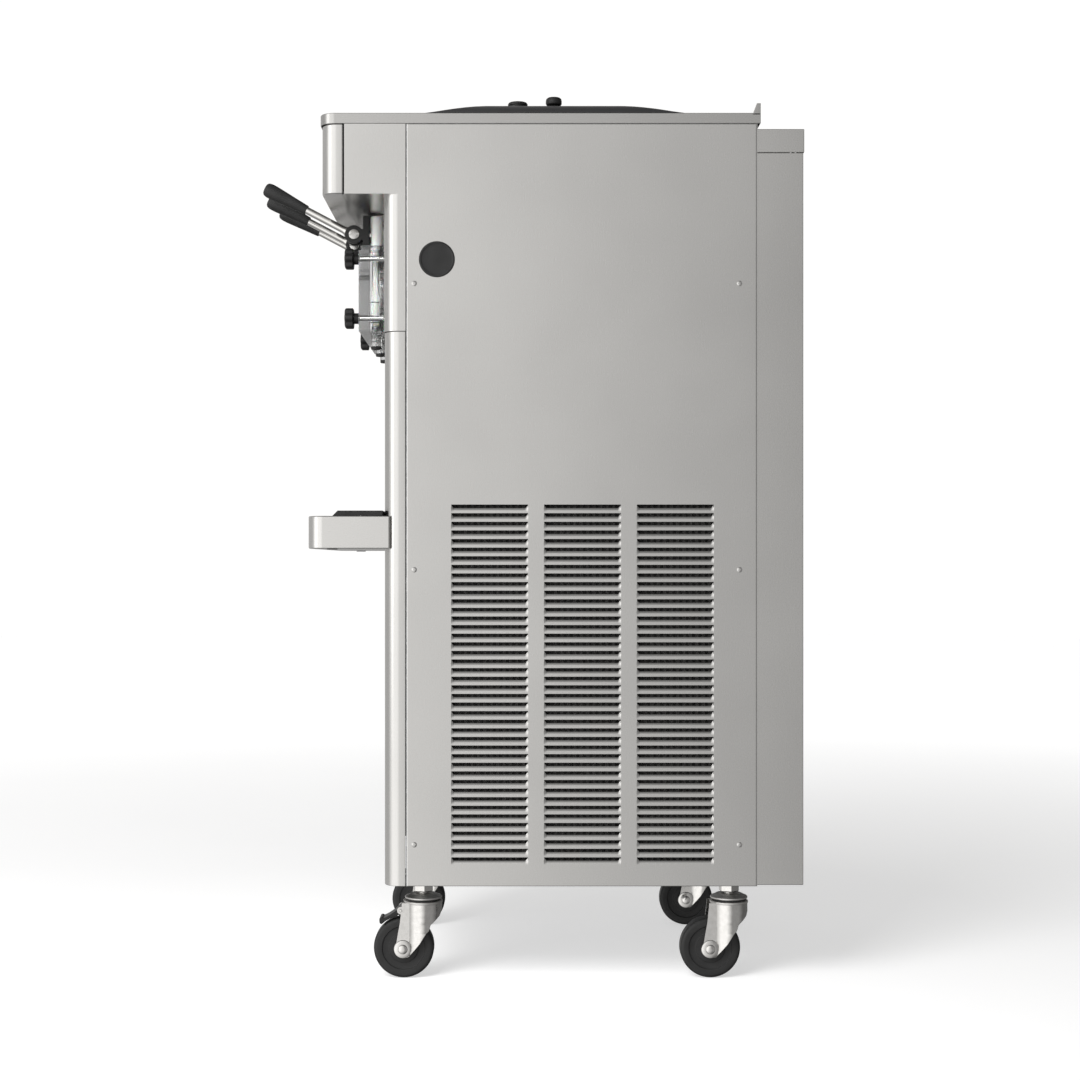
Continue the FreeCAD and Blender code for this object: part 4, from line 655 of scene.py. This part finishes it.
def panel_screws():
    """Six screws in each side panel."""
    low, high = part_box("panel_screws")
    head = 4.2 * MM
    middle_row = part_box("side_panel_right")[0].z + 490.9 * MM
    rows = (low.z + head, middle_row, high.z - head)
    bm = bmesh.new()
    for side in SIDES.values():
        for y in (low.y + head, high.y - head):
            for z in rows:
                screw = cross_screw(head)
                screw.transform(along((side, 0, 0), Vector((side * PANEL_X, y, z))))
                absorb(bm, screw)
    settle("cross_screws", bm, STEEL_TANK, "root", ["panel_screws"])


def filter_mats():
    """Pleated dark filter cloth a little behind the louvres."""
    pleat, depth, behind = 5 * MM, 5 * MM, 10 * MM
    first = FRONT + LOUVRE_FIRST - 6 * MM
    last = FRONT + LOUVRE_FIRST + 2 * LOUVRE_COLUMN + LOUVRE_WIDTH + 6 * MM
    count = round((last - first) / pleat)
    low = LOUVRE_LOW - 10 * MM
    high = LOUVRE_LOW + (LOUVRE_ROWS - 1) * LOUVRE_PITCH + 10 * MM
    bm = bmesh.new()
    for side in SIDES.values():
        wave = [(side * (PANEL_X - behind - depth * (i % 2)), first + i * pleat) for i in range(count + 1)]
        grid(bm, [[Vector((x, y, z)) for x, y in wave] for z in (low, high)])
    bmesh.ops.recalc_face_normals(bm, faces=bm.faces)
    bm = modified(bm, "SOLIDIFY", thickness=0.6 * MM, offset=0.0)
    settle("filter_mats", bm, FILTER, "root", smooth=20)


for side_name, side in SIDES.items():
    side_panel(side_name, side)
head_housing()
lower_front()
fascia()
seam_backing()
seam_feet()
top_cover()
rear_duct()
side_plugs()
panel_screws()
filter_mats()


# ------------------------ hoppers' lids

def hopper_lid(side_name):
    """A moulded hip-shaped lid with its knob and vent cap."""
    node = f"hopper_lid_{side_name}"
    low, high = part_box(node)
    centre = (low + high) / 2
    half_x, half_y = (high.x - low.x) / 2, (high.y - low.y) / 2
    edge, rise = 9 * MM, 23 * MM
    corner = 13 * MM
    sweep = 1.45  # radians of the sine that shapes the slopes
    steps = 8
    rings = [rounded_rectangle(centre, half_x, half_y, corner, low.z),
             rounded_rectangle(centre, half_x, half_y, corner, low.z + edge - 1.2 * MM),
             rounded_rectangle(centre, half_x - 0.7 * MM, half_y - 0.7 * MM, corner, low.z + edge)]
    for step in range(1, steps + 1):
        part = step / steps
        height = low.z + edge + rise * math.sin(part * sweep) / math.sin(sweep)
        rings.append(rounded_rectangle(centre, half_x - (2 + 53 * part) * MM, half_y - (2 + 118 * part) * MM,
                                       corner * (1 - 0.3 * part), height))
    bm = loft(bmesh.new(), rings, cap_start=False)
    bmesh.ops.recalc_face_normals(bm, faces=bm.faces)
    bm = modified(bm, "SOLIDIFY", thickness=2 * MM, offset=-1.0)
    settle(f"moulded_{node}", bm, LID_BLACK, node, [node], smooth=28)
    top = Vector((centre.x, centre.y, low.z + edge + rise))
    knob = [(9, -1), (8.6, 1), (6.6, 3), (6.2, 9), (7.6, 11.6), (12, 13.4), (13, 15.2), (13, 20),
            (12.2, 22.8), (10, 24.6), (6, 25.4), (1, 25.5)]
    vent = [(17, -1), (16.4, 1), (15, 2), (15, 11), (16, 12), (16, 14.6), (14.6, 16.4), (11, 17),
            (10, 16), (2, 16)]
    for name, profile, forward in (("knob", knob, 0.0), ("vent", vent, 58.5 * MM)):
        bm = turned_mm(bmesh.new(), profile, Matrix.Translation(top - Vector((0, forward, 0))), 40)
        settle(f"lid_{name}_{side_name}", bm, BLACK, node)


for side_name in SIDES:
    hopper_lid(side_name)


# ------------------------ draw head and levers

LEVER_ANGLE = math.radians(27.8)


def plunger(name):
    """A turned valve rod with a waist, its lever slot and two seal rings."""
    body = f"plunger_{name}"
    low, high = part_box(body)
    centre = (low + high) / 2
    radius = (high.x - low.x) / 2
    length = high.z - low.z
    shape = [(0.0, 0.86), (0.008, 0.96), (0.016, 0.98), (0.12, 0.98), (0.135, 0.93), (0.15, 0.98),
             (0.23, 0.98), (0.26, 0.90), (0.31, 0.76), (0.37, 0.70), (0.48, 0.68), (0.56, 0.72), (0.60, 0.84),
             (0.62, 1.0), (0.975, 1.0), (0.99, 0.96), (1.0, 0.86)]
    bm = turned(bmesh.new(), [(radius * reach, low.z + length * part) for part, reach in shape],
                Matrix.Translation((centre.x, centre.y, 0)), 40)
    pivot = joint_origin(f"lever_pull_{name}")
    slot = box(bmesh.new(), (centre.x - 5 * MM, centre.y - radius - 2 * MM, pivot.z - 13 * MM),
               (centre.x + 5 * MM, centre.y + 5 * MM, pivot.z + 6 * MM))
    bm = combined(bm, slot, "DIFFERENCE")
    settle(f"valve_rod_{name}", bm, WHITE, body, [body])
    rings = bmesh.new()
    for part in (0.03, 0.21):
        place = Matrix.Translation((centre.x, centre.y, low.z + length * part))
        ring_tube(rings, radius - 0.7 * MM, 1.0 * MM, place)
    settle(f"rod_seals_{name}", rings, RUBBER, body, smooth=60)


def lever(name):
    """A polished round handle on a broad hub, with a flat arm back to the plunger and a moulded grip."""
    body = f"lever_{name}"
    pivot = joint_origin(f"lever_pull_{name}")
    rod = middle(f"plunger_{name}")
    out = Vector((0, -math.cos(LEVER_ANGLE), math.sin(LEVER_ANGLE)))
    bm = bmesh.new()
    turned_mm(bm, [(4.1, -7.6), (11.2, -7.6), (12, -6.8), (12, 6.8), (11.2, 7.6), (4.1, 7.6)],
              along((1, 0, 0), pivot), 48)
    turned_mm(bm, [(7.6, 8), (7.4, 15), (6.3, 18), (6, 22), (6, 158)], along(out, pivot), 40)
    arm = box(bmesh.new(), (pivot.x - 4 * MM, pivot.y + 8 * MM, pivot.z - 3.5 * MM),
              (pivot.x + 4 * MM, rod.y + 2.5 * MM, pivot.z + 3.5 * MM))
    absorb(bm, rounded_edges(arm, 1 * MM))
    settle(f"handle_{name}", bm, POLISHED, body, [body])
    grip = turned_mm(bmesh.new(), [(6.1, 89), (7.2, 89), (7.8, 90.2), (8.2, 96), (9.0, 108), (10.2, 124),
                                   (11.4, 140), (12.0, 150), (12.0, 156), (11.6, 160), (10.4, 163.6),
                                   (8.2, 165.4), (5, 166), (1, 166)], along(out, pivot), 40)
    settle(f"moulded_grip_{name}", grip, GRIP_BLACK, body, [f"grip_{name}"])


def lever_pins():
    """Slotted pin heads on the outer side of each bracket, with a collar on the inner side."""
    bm, slots = bmesh.new(), bmesh.new()
    for name in DRAWS:
        pivot = joint_origin(f"lever_pull_{name}")
        across = along((1, 0, 0), pivot)
        turned_mm(bm, [(4, -16), (4, 13), (8, 13), (8.4, 13.4), (8.2, 14.3), (7, 15), (1, 15)], across, 36)
        turned_mm(bm, [(7.4, -15.6), (7.4, -13.2), (4.05, -13.2)], across, 36)
        slot = box(bmesh.new(), (13.9 * MM, -8.6 * MM, -1.3 * MM), (16 * MM, 8.6 * MM, 1.3 * MM))
        slot.transform(Matrix.Translation(pivot) @ Matrix.Rotation(math.radians(8), 4, "X"))
        absorb(slots, slot)
    bm = combined(bm, slots, "DIFFERENCE")
    settle("slotted_pins", bm, STEEL_TANK, "root", ["lever_pins"])


def star_knob(level, side_name):
    """A six-lobed hand nut."""
    body = f"star_knob_{level}_{side_name}"
    low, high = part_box(body)
    centre = (low + high) / 2
    reach = high.y - low.y
    radius = (high.z - low.z) / 2
    neck_radius = 8.7 * MM
    neck = [(0.0, 0.55), (0.0, 0.97), (0.02, 1.0), (0.36, 1.0)]
    head = [(0.385, 0.80), (0.40, 0.93), (0.44, 1.0), (0.86, 1.0), (0.93, 0.97), (0.98, 0.88), (1.0, 0.74),
            (1.0, 0.5), (0.985, 0.46), (0.985, 0.1)]
    segments, lobes, dent = 72, 6, 0.17

    def lobed(part, size, depth):
        points = []
        for i in range(segments):
            angle = 2 * math.pi * i / segments
            spoke = size * (1 - depth * (0.5 - 0.5 * math.cos(lobes * angle)) ** 1.5)
            points.append(Vector((spoke * math.cos(angle), spoke * math.sin(angle), reach * part)))
        return points

    rings = [lobed(part, neck_radius * size, 0) for part, size in neck]
    rings += [lobed(part, radius * size, dent) for part, size in head]
    bm = loft(bmesh.new(), rings)
    bm.transform(along((0, -1, 0), Vector((centre.x, high.y, centre.z))))
    settle(f"hand_nut_{level}_{side_name}", bm, BLACK, body, [body], smooth=40)


def nozzle_caps():
    """Black rings round the nozzles' ends, and clear rings round their necks."""
    low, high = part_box("nozzle_caps")
    height = (high.z - low.z) / MM
    neck_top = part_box("draw_head")[0].z + 18 * MM
    caps, bands = bmesh.new(), bmesh.new()
    for name in DRAWS:
        rod = middle(f"plunger_{name}")
        turned_mm(caps, [(5, height), (9, height), (9, height - 1), (8.8, 0.6), (8.2, 0), (5.4, 0),
                         (5, 0.4), (5, height)], Matrix.Translation((rod.x, rod.y, low.z)), 36)
        for drop in (3.5, 9.5):
            ring_tube(bands, 9.0 * MM, 0.9 * MM, Matrix.Translation((rod.x, rod.y, neck_top - drop * MM)))
    settle("nozzle_rings", caps, BLACK, "root", ["nozzle_caps"])
    settle("neck_rings", bands, CLEAR, "root", smooth=60)


for name in DRAWS:
    plunger(name)
    lever(name)
lever_pins()
for level in ("upper", "lower"):
    for side_name in SIDES:
        star_knob(level, side_name)
nozzle_caps()
softened_node("bracket_ears", "lever_brackets", 0.7 * MM, BLACK)
softened_node("clear_head", "draw_head", 0.8 * MM, CLEAR)


# ------------------------ drip tray

def tray_outline():
    """The tray in plan, with round front corners and side walls carried back beside the column's corners."""
    low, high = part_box("drip_tray")
    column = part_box("lower_front_panel")[0].y
    reach = 9 * MM
    radius = CORNER + 0.6 * MM
    first = math.acos((CORNER - reach) / radius)
    last = math.acos((column + CORNER - high.y) / radius)
    steps = 4
    right = [(high.x, column + reach)]
    for i in range(steps + 1):
        turn = first + (last - first) * i / steps
        right.append((high.x - CORNER + radius * math.sin(turn),
                      column + CORNER - radius * math.cos(turn)))
    left = [(-x, y) for x, y in reversed(right)]
    return right + left + front_rounded(high.x, low.y, high.y, CORNER)[2:]


def drip_tray():
    """A rounded pan with a wide mouth for the grid and two rubber rests under its front."""
    low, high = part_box("drip_tray")
    grid_low, grid_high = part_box("drip_grid")
    bm = prism(bmesh.new(), tray_outline(), low.z, high.z)
    bm = rounded_edges(bm, 2.0 * MM, segments=4)
    sheet = 2 * MM
    room = prism(bmesh.new(), front_rounded(high.x - sheet, low.y + sheet, high.y - sheet, CORNER - sheet),
                 low.z + sheet, high.z - sheet)
    bm = combined(bm, room, "DIFFERENCE")
    mouth = box(bmesh.new(), (grid_low.x + 2 * MM, grid_low.y + 2 * MM, high.z - 5 * MM),
                (grid_high.x - 2 * MM, high.y - 3.5 * MM, high.z + 5 * MM))
    bm = combined(bm, mouth, "DIFFERENCE")
    settle("tray_pan", bm, STEEL_TRAY, "drip_tray", ["drip_tray"])
    rests = bmesh.new()
    for side in SIDES.values():
        pad = rounded_rectangle((side * (high.x - 12 * MM), low.y + 38 * MM), 7 * MM, 8 * MM, 3 * MM, 0)
        loft(rests, [[p + Vector((0, 0, low.z + z)) for p in pad] for z in (1 * MM, -1.2 * MM)])
    settle("tray_rests", rounded_edges(rests, 0.4 * MM), RUBBER, "drip_tray")


drip_tray()
softened_node("slotted_grid", "drip_grid", 0.9 * MM, BLACK, body="drip_grid")


# ------------------------ casters

CORNERS = [f"{end}_{side_name}" for end in ("front", "rear") for side_name in SIDES]
# The fork's front and rear edges, as (height, distance behind the swivel) in millimetres.
FORK_FRONT = [(32.6, -29.6), (33.4, -34.6), (35.8, -39.3), (39.6, -42.8), (44.5, -44.9), (49.0, -44.7),
              (53.5, -43.0), (58.0, -41.3), (71.0, -39.2), (87.0, -36.2), (111.0, -33.4), (119.0, -33.0)]
FORK_REAR = [(32.6, -29.4), (33.4, -24.6), (35.2, -21.6), (40.0, -17.9), (55.7, -5.3), (73.0, 5.9),
             (76.0, 9.4), (80.8, 11.2), (85.5, 12.6), (91.8, 19.8), (98.0, 26.0), (104.0, 28.8),
             (110.0, 29.5), (119.0, 29.5)]
FORK_RADIUS = 29.5
FORK_FLAT = 20.7


def on_line(table, height):
    """The value at a height along a list of (height, value) corners."""
    for (low, first), (high, second) in zip(table, table[1:]):
        if height <= high:
            return first + (second - first) * (height - low) / (high - low)
    return table[-1][1]


def fork_leg(side):
    """A pressed leg: flat beside the axle, and round about the swivel behind it."""
    fold = -math.sqrt(FORK_RADIUS ** 2 - FORK_FLAT ** 2)
    flat_steps, round_steps = 8, 28
    between = {64.0, 95.0, 115.0}
    heights = sorted({height for height, _ in FORK_FRONT + FORK_REAR} | between)

    def point(y, z):
        across = FORK_FLAT if y < fold else math.sqrt(max(FORK_RADIUS ** 2 - y ** 2, 0.0))
        return Vector((side * across, y, z)) * MM

    rows = []
    for z in heights:
        front, rear = on_line(FORK_FRONT, z), on_line(FORK_REAR, z)
        bend = min(max(fold, front), rear)
        row = [point(front + (bend - front) * i / flat_steps, z) for i in range(flat_steps)]
        row += [point(bend + (rear - bend) * i / round_steps, z) for i in range(round_steps + 1)]
        rows.append(row)
    bm = bmesh.new()
    grid(bm, rows)
    bmesh.ops.remove_doubles(bm, verts=bm.verts, dist=1e-6)
    bmesh.ops.recalc_face_normals(bm, faces=bm.faces)
    outward = sum((face.normal.x * face.calc_area() for face in bm.faces), 0.0) * side
    if outward < 0:
        bmesh.ops.reverse_faces(bm, faces=bm.faces)
    return modified(bm, "SOLIDIFY", thickness=2.6 * MM, offset=-1.0, use_even_offset=True)


def caster(corner):
    """Fork with its swivel race, axle and rubber wheel."""
    fork, wheel = f"caster_fork_{corner}", f"caster_wheel_{corner}"
    hub = middle(wheel)
    swivel = joint_origin(f"caster_swivel_{corner}")
    upright = Matrix.Translation((swivel.x, swivel.y, 0))
    legs = bmesh.new()
    for side in SIDES.values():
        absorb(legs, fork_leg(side))
    legs.transform(upright)
    settle(f"fork_legs_{corner}", legs, PLATED, fork, [fork], smooth=30)
    race = turned_mm(bmesh.new(), [(6, 116.4), (28.8, 116.4), (30.0, 117.4), (30.3, 119), (30.0, 120.6),
                                   (28.6, 121.4), (6, 121.4)], upright, 64)
    turned_mm(race, [(6, 124.2), (27.4, 124.2), (28.9, 124.6), (29.4, 125.6), (29.2, 127), (27.6, 128.4),
                     (24, 129.4), (21.5, 131.2), (19.5, 132), (6, 132)], upright, 64)
    settle(f"swivel_race_{corner}", race, SATIN, fork)
    seal = turned_mm(bmesh.new(), [(6, 121.2), (26.6, 121.2), (26.9, 122.8), (26.6, 124.4), (6, 124.4)],
                     upright, 64)
    settle(f"race_seal_{corner}", seal, RUBBER, fork)
    axle = bmesh.new()
    for side in SIDES.values():
        turned_mm(axle, [(4.9, 13), (4.9, 20), (14.4, 20), (14.4, 21.2), (13.6, 22.2), (11.2, 22.8),
                         (7.6, 22.9), (7.2, 23.3), (6.9, 25.2), (6.0, 26), (3.0, 26.4), (0.6, 26.4)],
                  along((side, 0, 0), hub + Vector((0, -0.8 * MM, -0.8 * MM))), 48)
    settle(f"axle_bosses_{corner}", axle, PLATED, fork)
    half = [(47.5, 0), (47.5, 8.5), (47.1, 11), (45.9, 13), (43.8, 14.2), (41.4, 14.5), (35.2, 14.5),
            (34.2, 14.1), (33.6, 12.9), (32.6, 12.4), (25, 12.0), (23.4, 12.3), (22.6, 13.2), (15, 13.6),
            (5.2, 13.6)]
    profile = [(radius, -across) for radius, across in half[:0:-1]] + half
    tyre = turned_mm(bmesh.new(), profile, along((1, 0, 0), hub), 96)
    settle(f"wheel_{corner}", tyre, TYRE, wheel, [wheel], smooth=32)


def brake_lugs(side_name):
    """Hinge ears of the brake pedal, with a pin through them."""
    pin = joint_origin(f"brake_press_{side_name}")
    radius = 6 * MM
    centre = (pin.y - 1.5 * MM, pin.z)
    turns = [math.radians(90 + 180 * i / 12) for i in range(13)]
    outline = [(centre[0] + radius * math.cos(turn), centre[1] + radius * math.sin(turn)) for turn in turns]
    outline += [(pin.y + radius, pin.z - radius), (pin.y + radius, pin.z + radius)]
    bm = bmesh.new()
    for side in SIDES.values():
        faces = (pin.x + side * 17.4 * MM, pin.x + side * 19.4 * MM)
        plate = loft(bmesh.new(), [[Vector((x, y, z)) for y, z in outline] for x in faces])
        absorb(bm, rounded_edges(plate, 0.4 * MM, segments=2))
        turned_mm(bm, [(2.6, 0.0), (2.6, 5.6), (2.0, 6.4), (0.3, 6.6)],
                  along((side, 0, 0), Vector((pin.x + side * 14.6 * MM, *centre))), 24)
    settle(f"brake_lugs_{side_name}", bm, PLATED, f"caster_fork_front_{side_name}")


def brake_pedal(side_name):
    """A moulded tread that follows the wheel's rim, with a raised toe."""
    body = f"brake_pedal_{side_name}"
    pin = joint_origin(f"brake_press_{side_name}")
    hub = middle(f"caster_wheel_front_{side_name}") - pin
    gap_radius = 51 * MM
    rim_low, rim_high, rim_steps = -31, -8, 8
    top = [(4, 3.4), (0, 5), (-5, 3.4), (-13, -3), (-22, -9), (-29, -12.5), (-31.5, -11), (-34.5, -11.6),
           (-36, -14.5), (-35.5, -20), (-33, -22.4)]
    outline = [(y * MM, z * MM) for y, z in top]
    for i in range(rim_steps + 1):
        y = (rim_low + (rim_high - rim_low) * i / rim_steps) * MM
        outline.append((y, hub.z + math.sqrt(gap_radius ** 2 - (y - hub.y) ** 2)))
    outline += [(-4 * MM, -5 * MM), (3 * MM, -4.2 * MM)]
    bm = loft(bmesh.new(), [[pin + Vector((x, y, z)) for y, z in outline] for x in (-16 * MM, 16 * MM)])
    settle(f"pedal_{side_name}", rounded_edges(bm, 1 * MM), BLACK, body, [body])


def stem_nuts():
    """Hexagon nuts with a washer and a short threaded stem above each swivel."""
    low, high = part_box("caster_stems")
    foot, top = low.z / MM, high.z / MM
    bm = bmesh.new()
    for corner in CORNERS:
        swivel = joint_origin(f"caster_swivel_{corner}")
        place = Matrix.Translation((swivel.x, swivel.y, 0)) @ Matrix.Rotation(math.radians(8), 4, "Z")
        shank = [(8.0, foot)] + [(7.4 if i % 2 else 8.0, 133 + 1.2 * i) for i in range(7)] + [(8.0, top)]
        turned_mm(bm, shank, place, 32)
        nut = turned_mm(bmesh.new(), [(14.4, 134.6), (16.4, 136.2), (16.4, 148.2), (14.4, 149.8)], place, 6)
        absorb(bm, rounded_edges(nut, 0.5 * MM, segments=2, angle=20))
        turned_mm(bm, [(6, 149.9), (16.6, 149.9), (16.8, 150.3), (16.8, 152), (16.4, top), (6, top)], place)
    settle("stem_nuts", bm, PLATED, "root", ["caster_stems"])


for corner in CORNERS:
    caster(corner)
for side_name in SIDES:
    brake_lugs(side_name)
    brake_pedal(side_name)
stem_nuts()


# ------------------------ CAD nodes that stay

# Each finish with the first words of its nodes' names; a node takes the first that fits.
FINISHES = (
    (GALVANISED, ("base_pan", "frame")),
    (STEEL_TANK, ("mix_hoppers", "freezing_cylinders", "draw_head_studs")),
    (STEEL_ACROSS, ("top_cover", "drip_tray")),
    (STEEL_UPRIGHT, ("back_panel", "side_panel", "lower_front_panel", "head_housing", "control_fascia",
                     "rear_duct")),
    (CAST, ("gear_reducers", "motor_pulley", "reducer_pulley")),
    (PAINT, ("drive_motor", "compressor")),
    (BELT, ("drive_belts",)),
    (BLACK, ("cable_gland", "condenser_fan", "side_plugs", "lever_brackets", "nozzle_caps", "drip_grid",
             "star_knob", "brake_pedal")),
    (FINS_AND_GAP_SHADE, ("condenser",)),
    (CLEAR, ("draw_head",)),
    (GLASS, ("display_panel",)),
    (PLATED, ("panel_screws", "lever_pins", "caster_stems", "caster_fork")),
    (POLISHED, ("beater", "lever")),
    (WHITE, ("plunger",)),
    (LID_BLACK, ("hopper_lid",)),
    (GRIP_BLACK, ("grip",)),
    (TYRE, ("caster_wheel",)),
)


def dress_nodes():
    """Give every CAD node its procedural material."""
    for name, node in frame["nodes"].items():
        finish = next(material for material, starts in FINISHES if name.startswith(starts))
        node.data.materials.clear()
        node.data.materials.append(finish)


dress_nodes()


# ------------------------ floor, light and camera

def product(tree, first, second):
    """Two values multiplied."""
    node = tree.nodes.new("ShaderNodeMath")
    node.operation = "MULTIPLY"
    tree.links.new(first, node.inputs[0])
    tree.links.new(second, node.inputs[1])
    return node.outputs["Value"]


def add_floor():
    """A wide pale disc under the casters, lifted where the camera sees it so that it meets the white."""
    bm = bmesh.new()
    turned(bm, [(14.0, -4 * MM), (14.0, 0.0)], Matrix.Translation((0, 0, -0.5 * MM)), 96)
    mesh = bpy.data.meshes.new("floor")
    bm.to_mesh(mesh)
    bm.free()
    material, tree, shader = new_material("floor_white")
    patches = noise(tree, 2)
    tree.links.new(blend_colours(tree, patches, (0.54, 0.54, 0.54), (0.56, 0.56, 0.56)),
                   shader.inputs["Base Color"])
    shader.inputs["Roughness"].default_value = 0.9
    shader.inputs["Specular IOR Level"].default_value = 0.1
    shader.inputs["Emission Color"].default_value = (1, 1, 1, 1)
    place = tree.nodes.new("ShaderNodeTexCoord")
    reach = tree.nodes.new("ShaderNodeVectorMath")
    reach.operation = "LENGTH"
    tree.links.new(place.outputs["Object"], reach.inputs[0])
    seen = tree.nodes.new("ShaderNodeLightPath")
    lift = eased(tree, reach.outputs["Value"], (1.0, 4.0), (0.55, 0.82))
    tree.links.new(product(tree, lift, seen.outputs["Is Camera Ray"]), shader.inputs["Emission Strength"])
    mesh.materials.append(material)
    floor = bpy.data.objects.new("floor", mesh)
    bpy.context.scene.collection.objects.link(floor)
    floor.visible_glossy = False


def add_world():
    """A studio that is bright in front of the machine's right side, and dim behind it and overhead."""
    world = bpy.data.worlds.new("studio")
    bpy.context.scene.world = world
    world.use_nodes = True
    tree = world.node_tree
    background = tree.nodes["Background"]
    background.inputs["Color"].default_value = (1.0, 0.992, 0.985, 1)
    place = tree.nodes.new("ShaderNodeTexCoord")
    split = tree.nodes.new("ShaderNodeSeparateXYZ")
    tree.links.new(place.outputs["Generated"], split.inputs["Vector"])
    sides = eased(tree, split.outputs["Y"], (-0.28, 0.24), (1.44, 0.34))
    near = eased(tree, split.outputs["X"], (0.0, 0.55), (0.42, 1.03))
    over = eased(tree, split.outputs["Z"], (0.40, 0.80), (1.0, 0.35), smooth=True)
    under = eased(tree, split.outputs["Z"], (-0.75, -0.25), (0.45, 1.0), smooth=True)
    strength = sides
    for factor in (near, over, under):
        strength = product(tree, strength, factor)
    seen = tree.nodes.new("ShaderNodeLightPath")
    pick = tree.nodes.new("ShaderNodeMix")
    tree.links.new(seen.outputs["Is Camera Ray"], pick.inputs["Factor"])
    tree.links.new(strength, pick.inputs["A"])
    pick.inputs["B"].default_value = 1.03
    tree.links.new(pick.outputs["Result"], background.inputs["Strength"])


def add_lamp(name, place, target, size, power, mirrored=True):
    """A soft panel light; one that isn't mirrored stays out of reflections."""
    lamp = bpy.data.lights.new(name, "AREA")
    lamp.shape = "RECTANGLE"
    lamp.size, lamp.size_y = size
    lamp.energy = power
    holder = bpy.data.objects.new(name, lamp)
    bpy.context.scene.collection.objects.link(holder)
    holder.location = place
    holder.rotation_euler = (Vector(target) - Vector(place)).to_track_quat("-Z", "Y").to_euler()
    holder.visible_glossy = mirrored


def add_camera():
    """Square to the machine's right side, a little above the middle of its height."""
    lens = bpy.data.cameras.new("camera")
    lens.lens = 60.7
    lens.sensor_width = 36
    lens.shift_x = 0.0185
    lens.shift_y = 0.0213
    holder = bpy.data.objects.new("camera", lens)
    bpy.context.scene.collection.objects.link(holder)
    holder.location = (3.093, FRONT + 213.1 * MM, 653.8 * MM)
    holder.rotation_euler = (math.radians(90), 0, math.radians(90))
    bpy.context.scene.camera = holder


add_floor()
add_world()
add_lamp("key", (1.9, -3.0, 1.5), (0, -0.2, 0.7), (1.2, 2.6), 8)
add_lamp("wash", (2.0, -1.1, 2.0), (1.3, -0.8, 0), (1.4, 1.4), 75, mirrored=False)
add_lamp("front", (2.6, -1.8, 1.6), (0, -0.3, 1.0), (1.0, 1.6), 30, mirrored=False)
add_camera()
bpy.context.scene.view_settings.view_transform = "Standard"
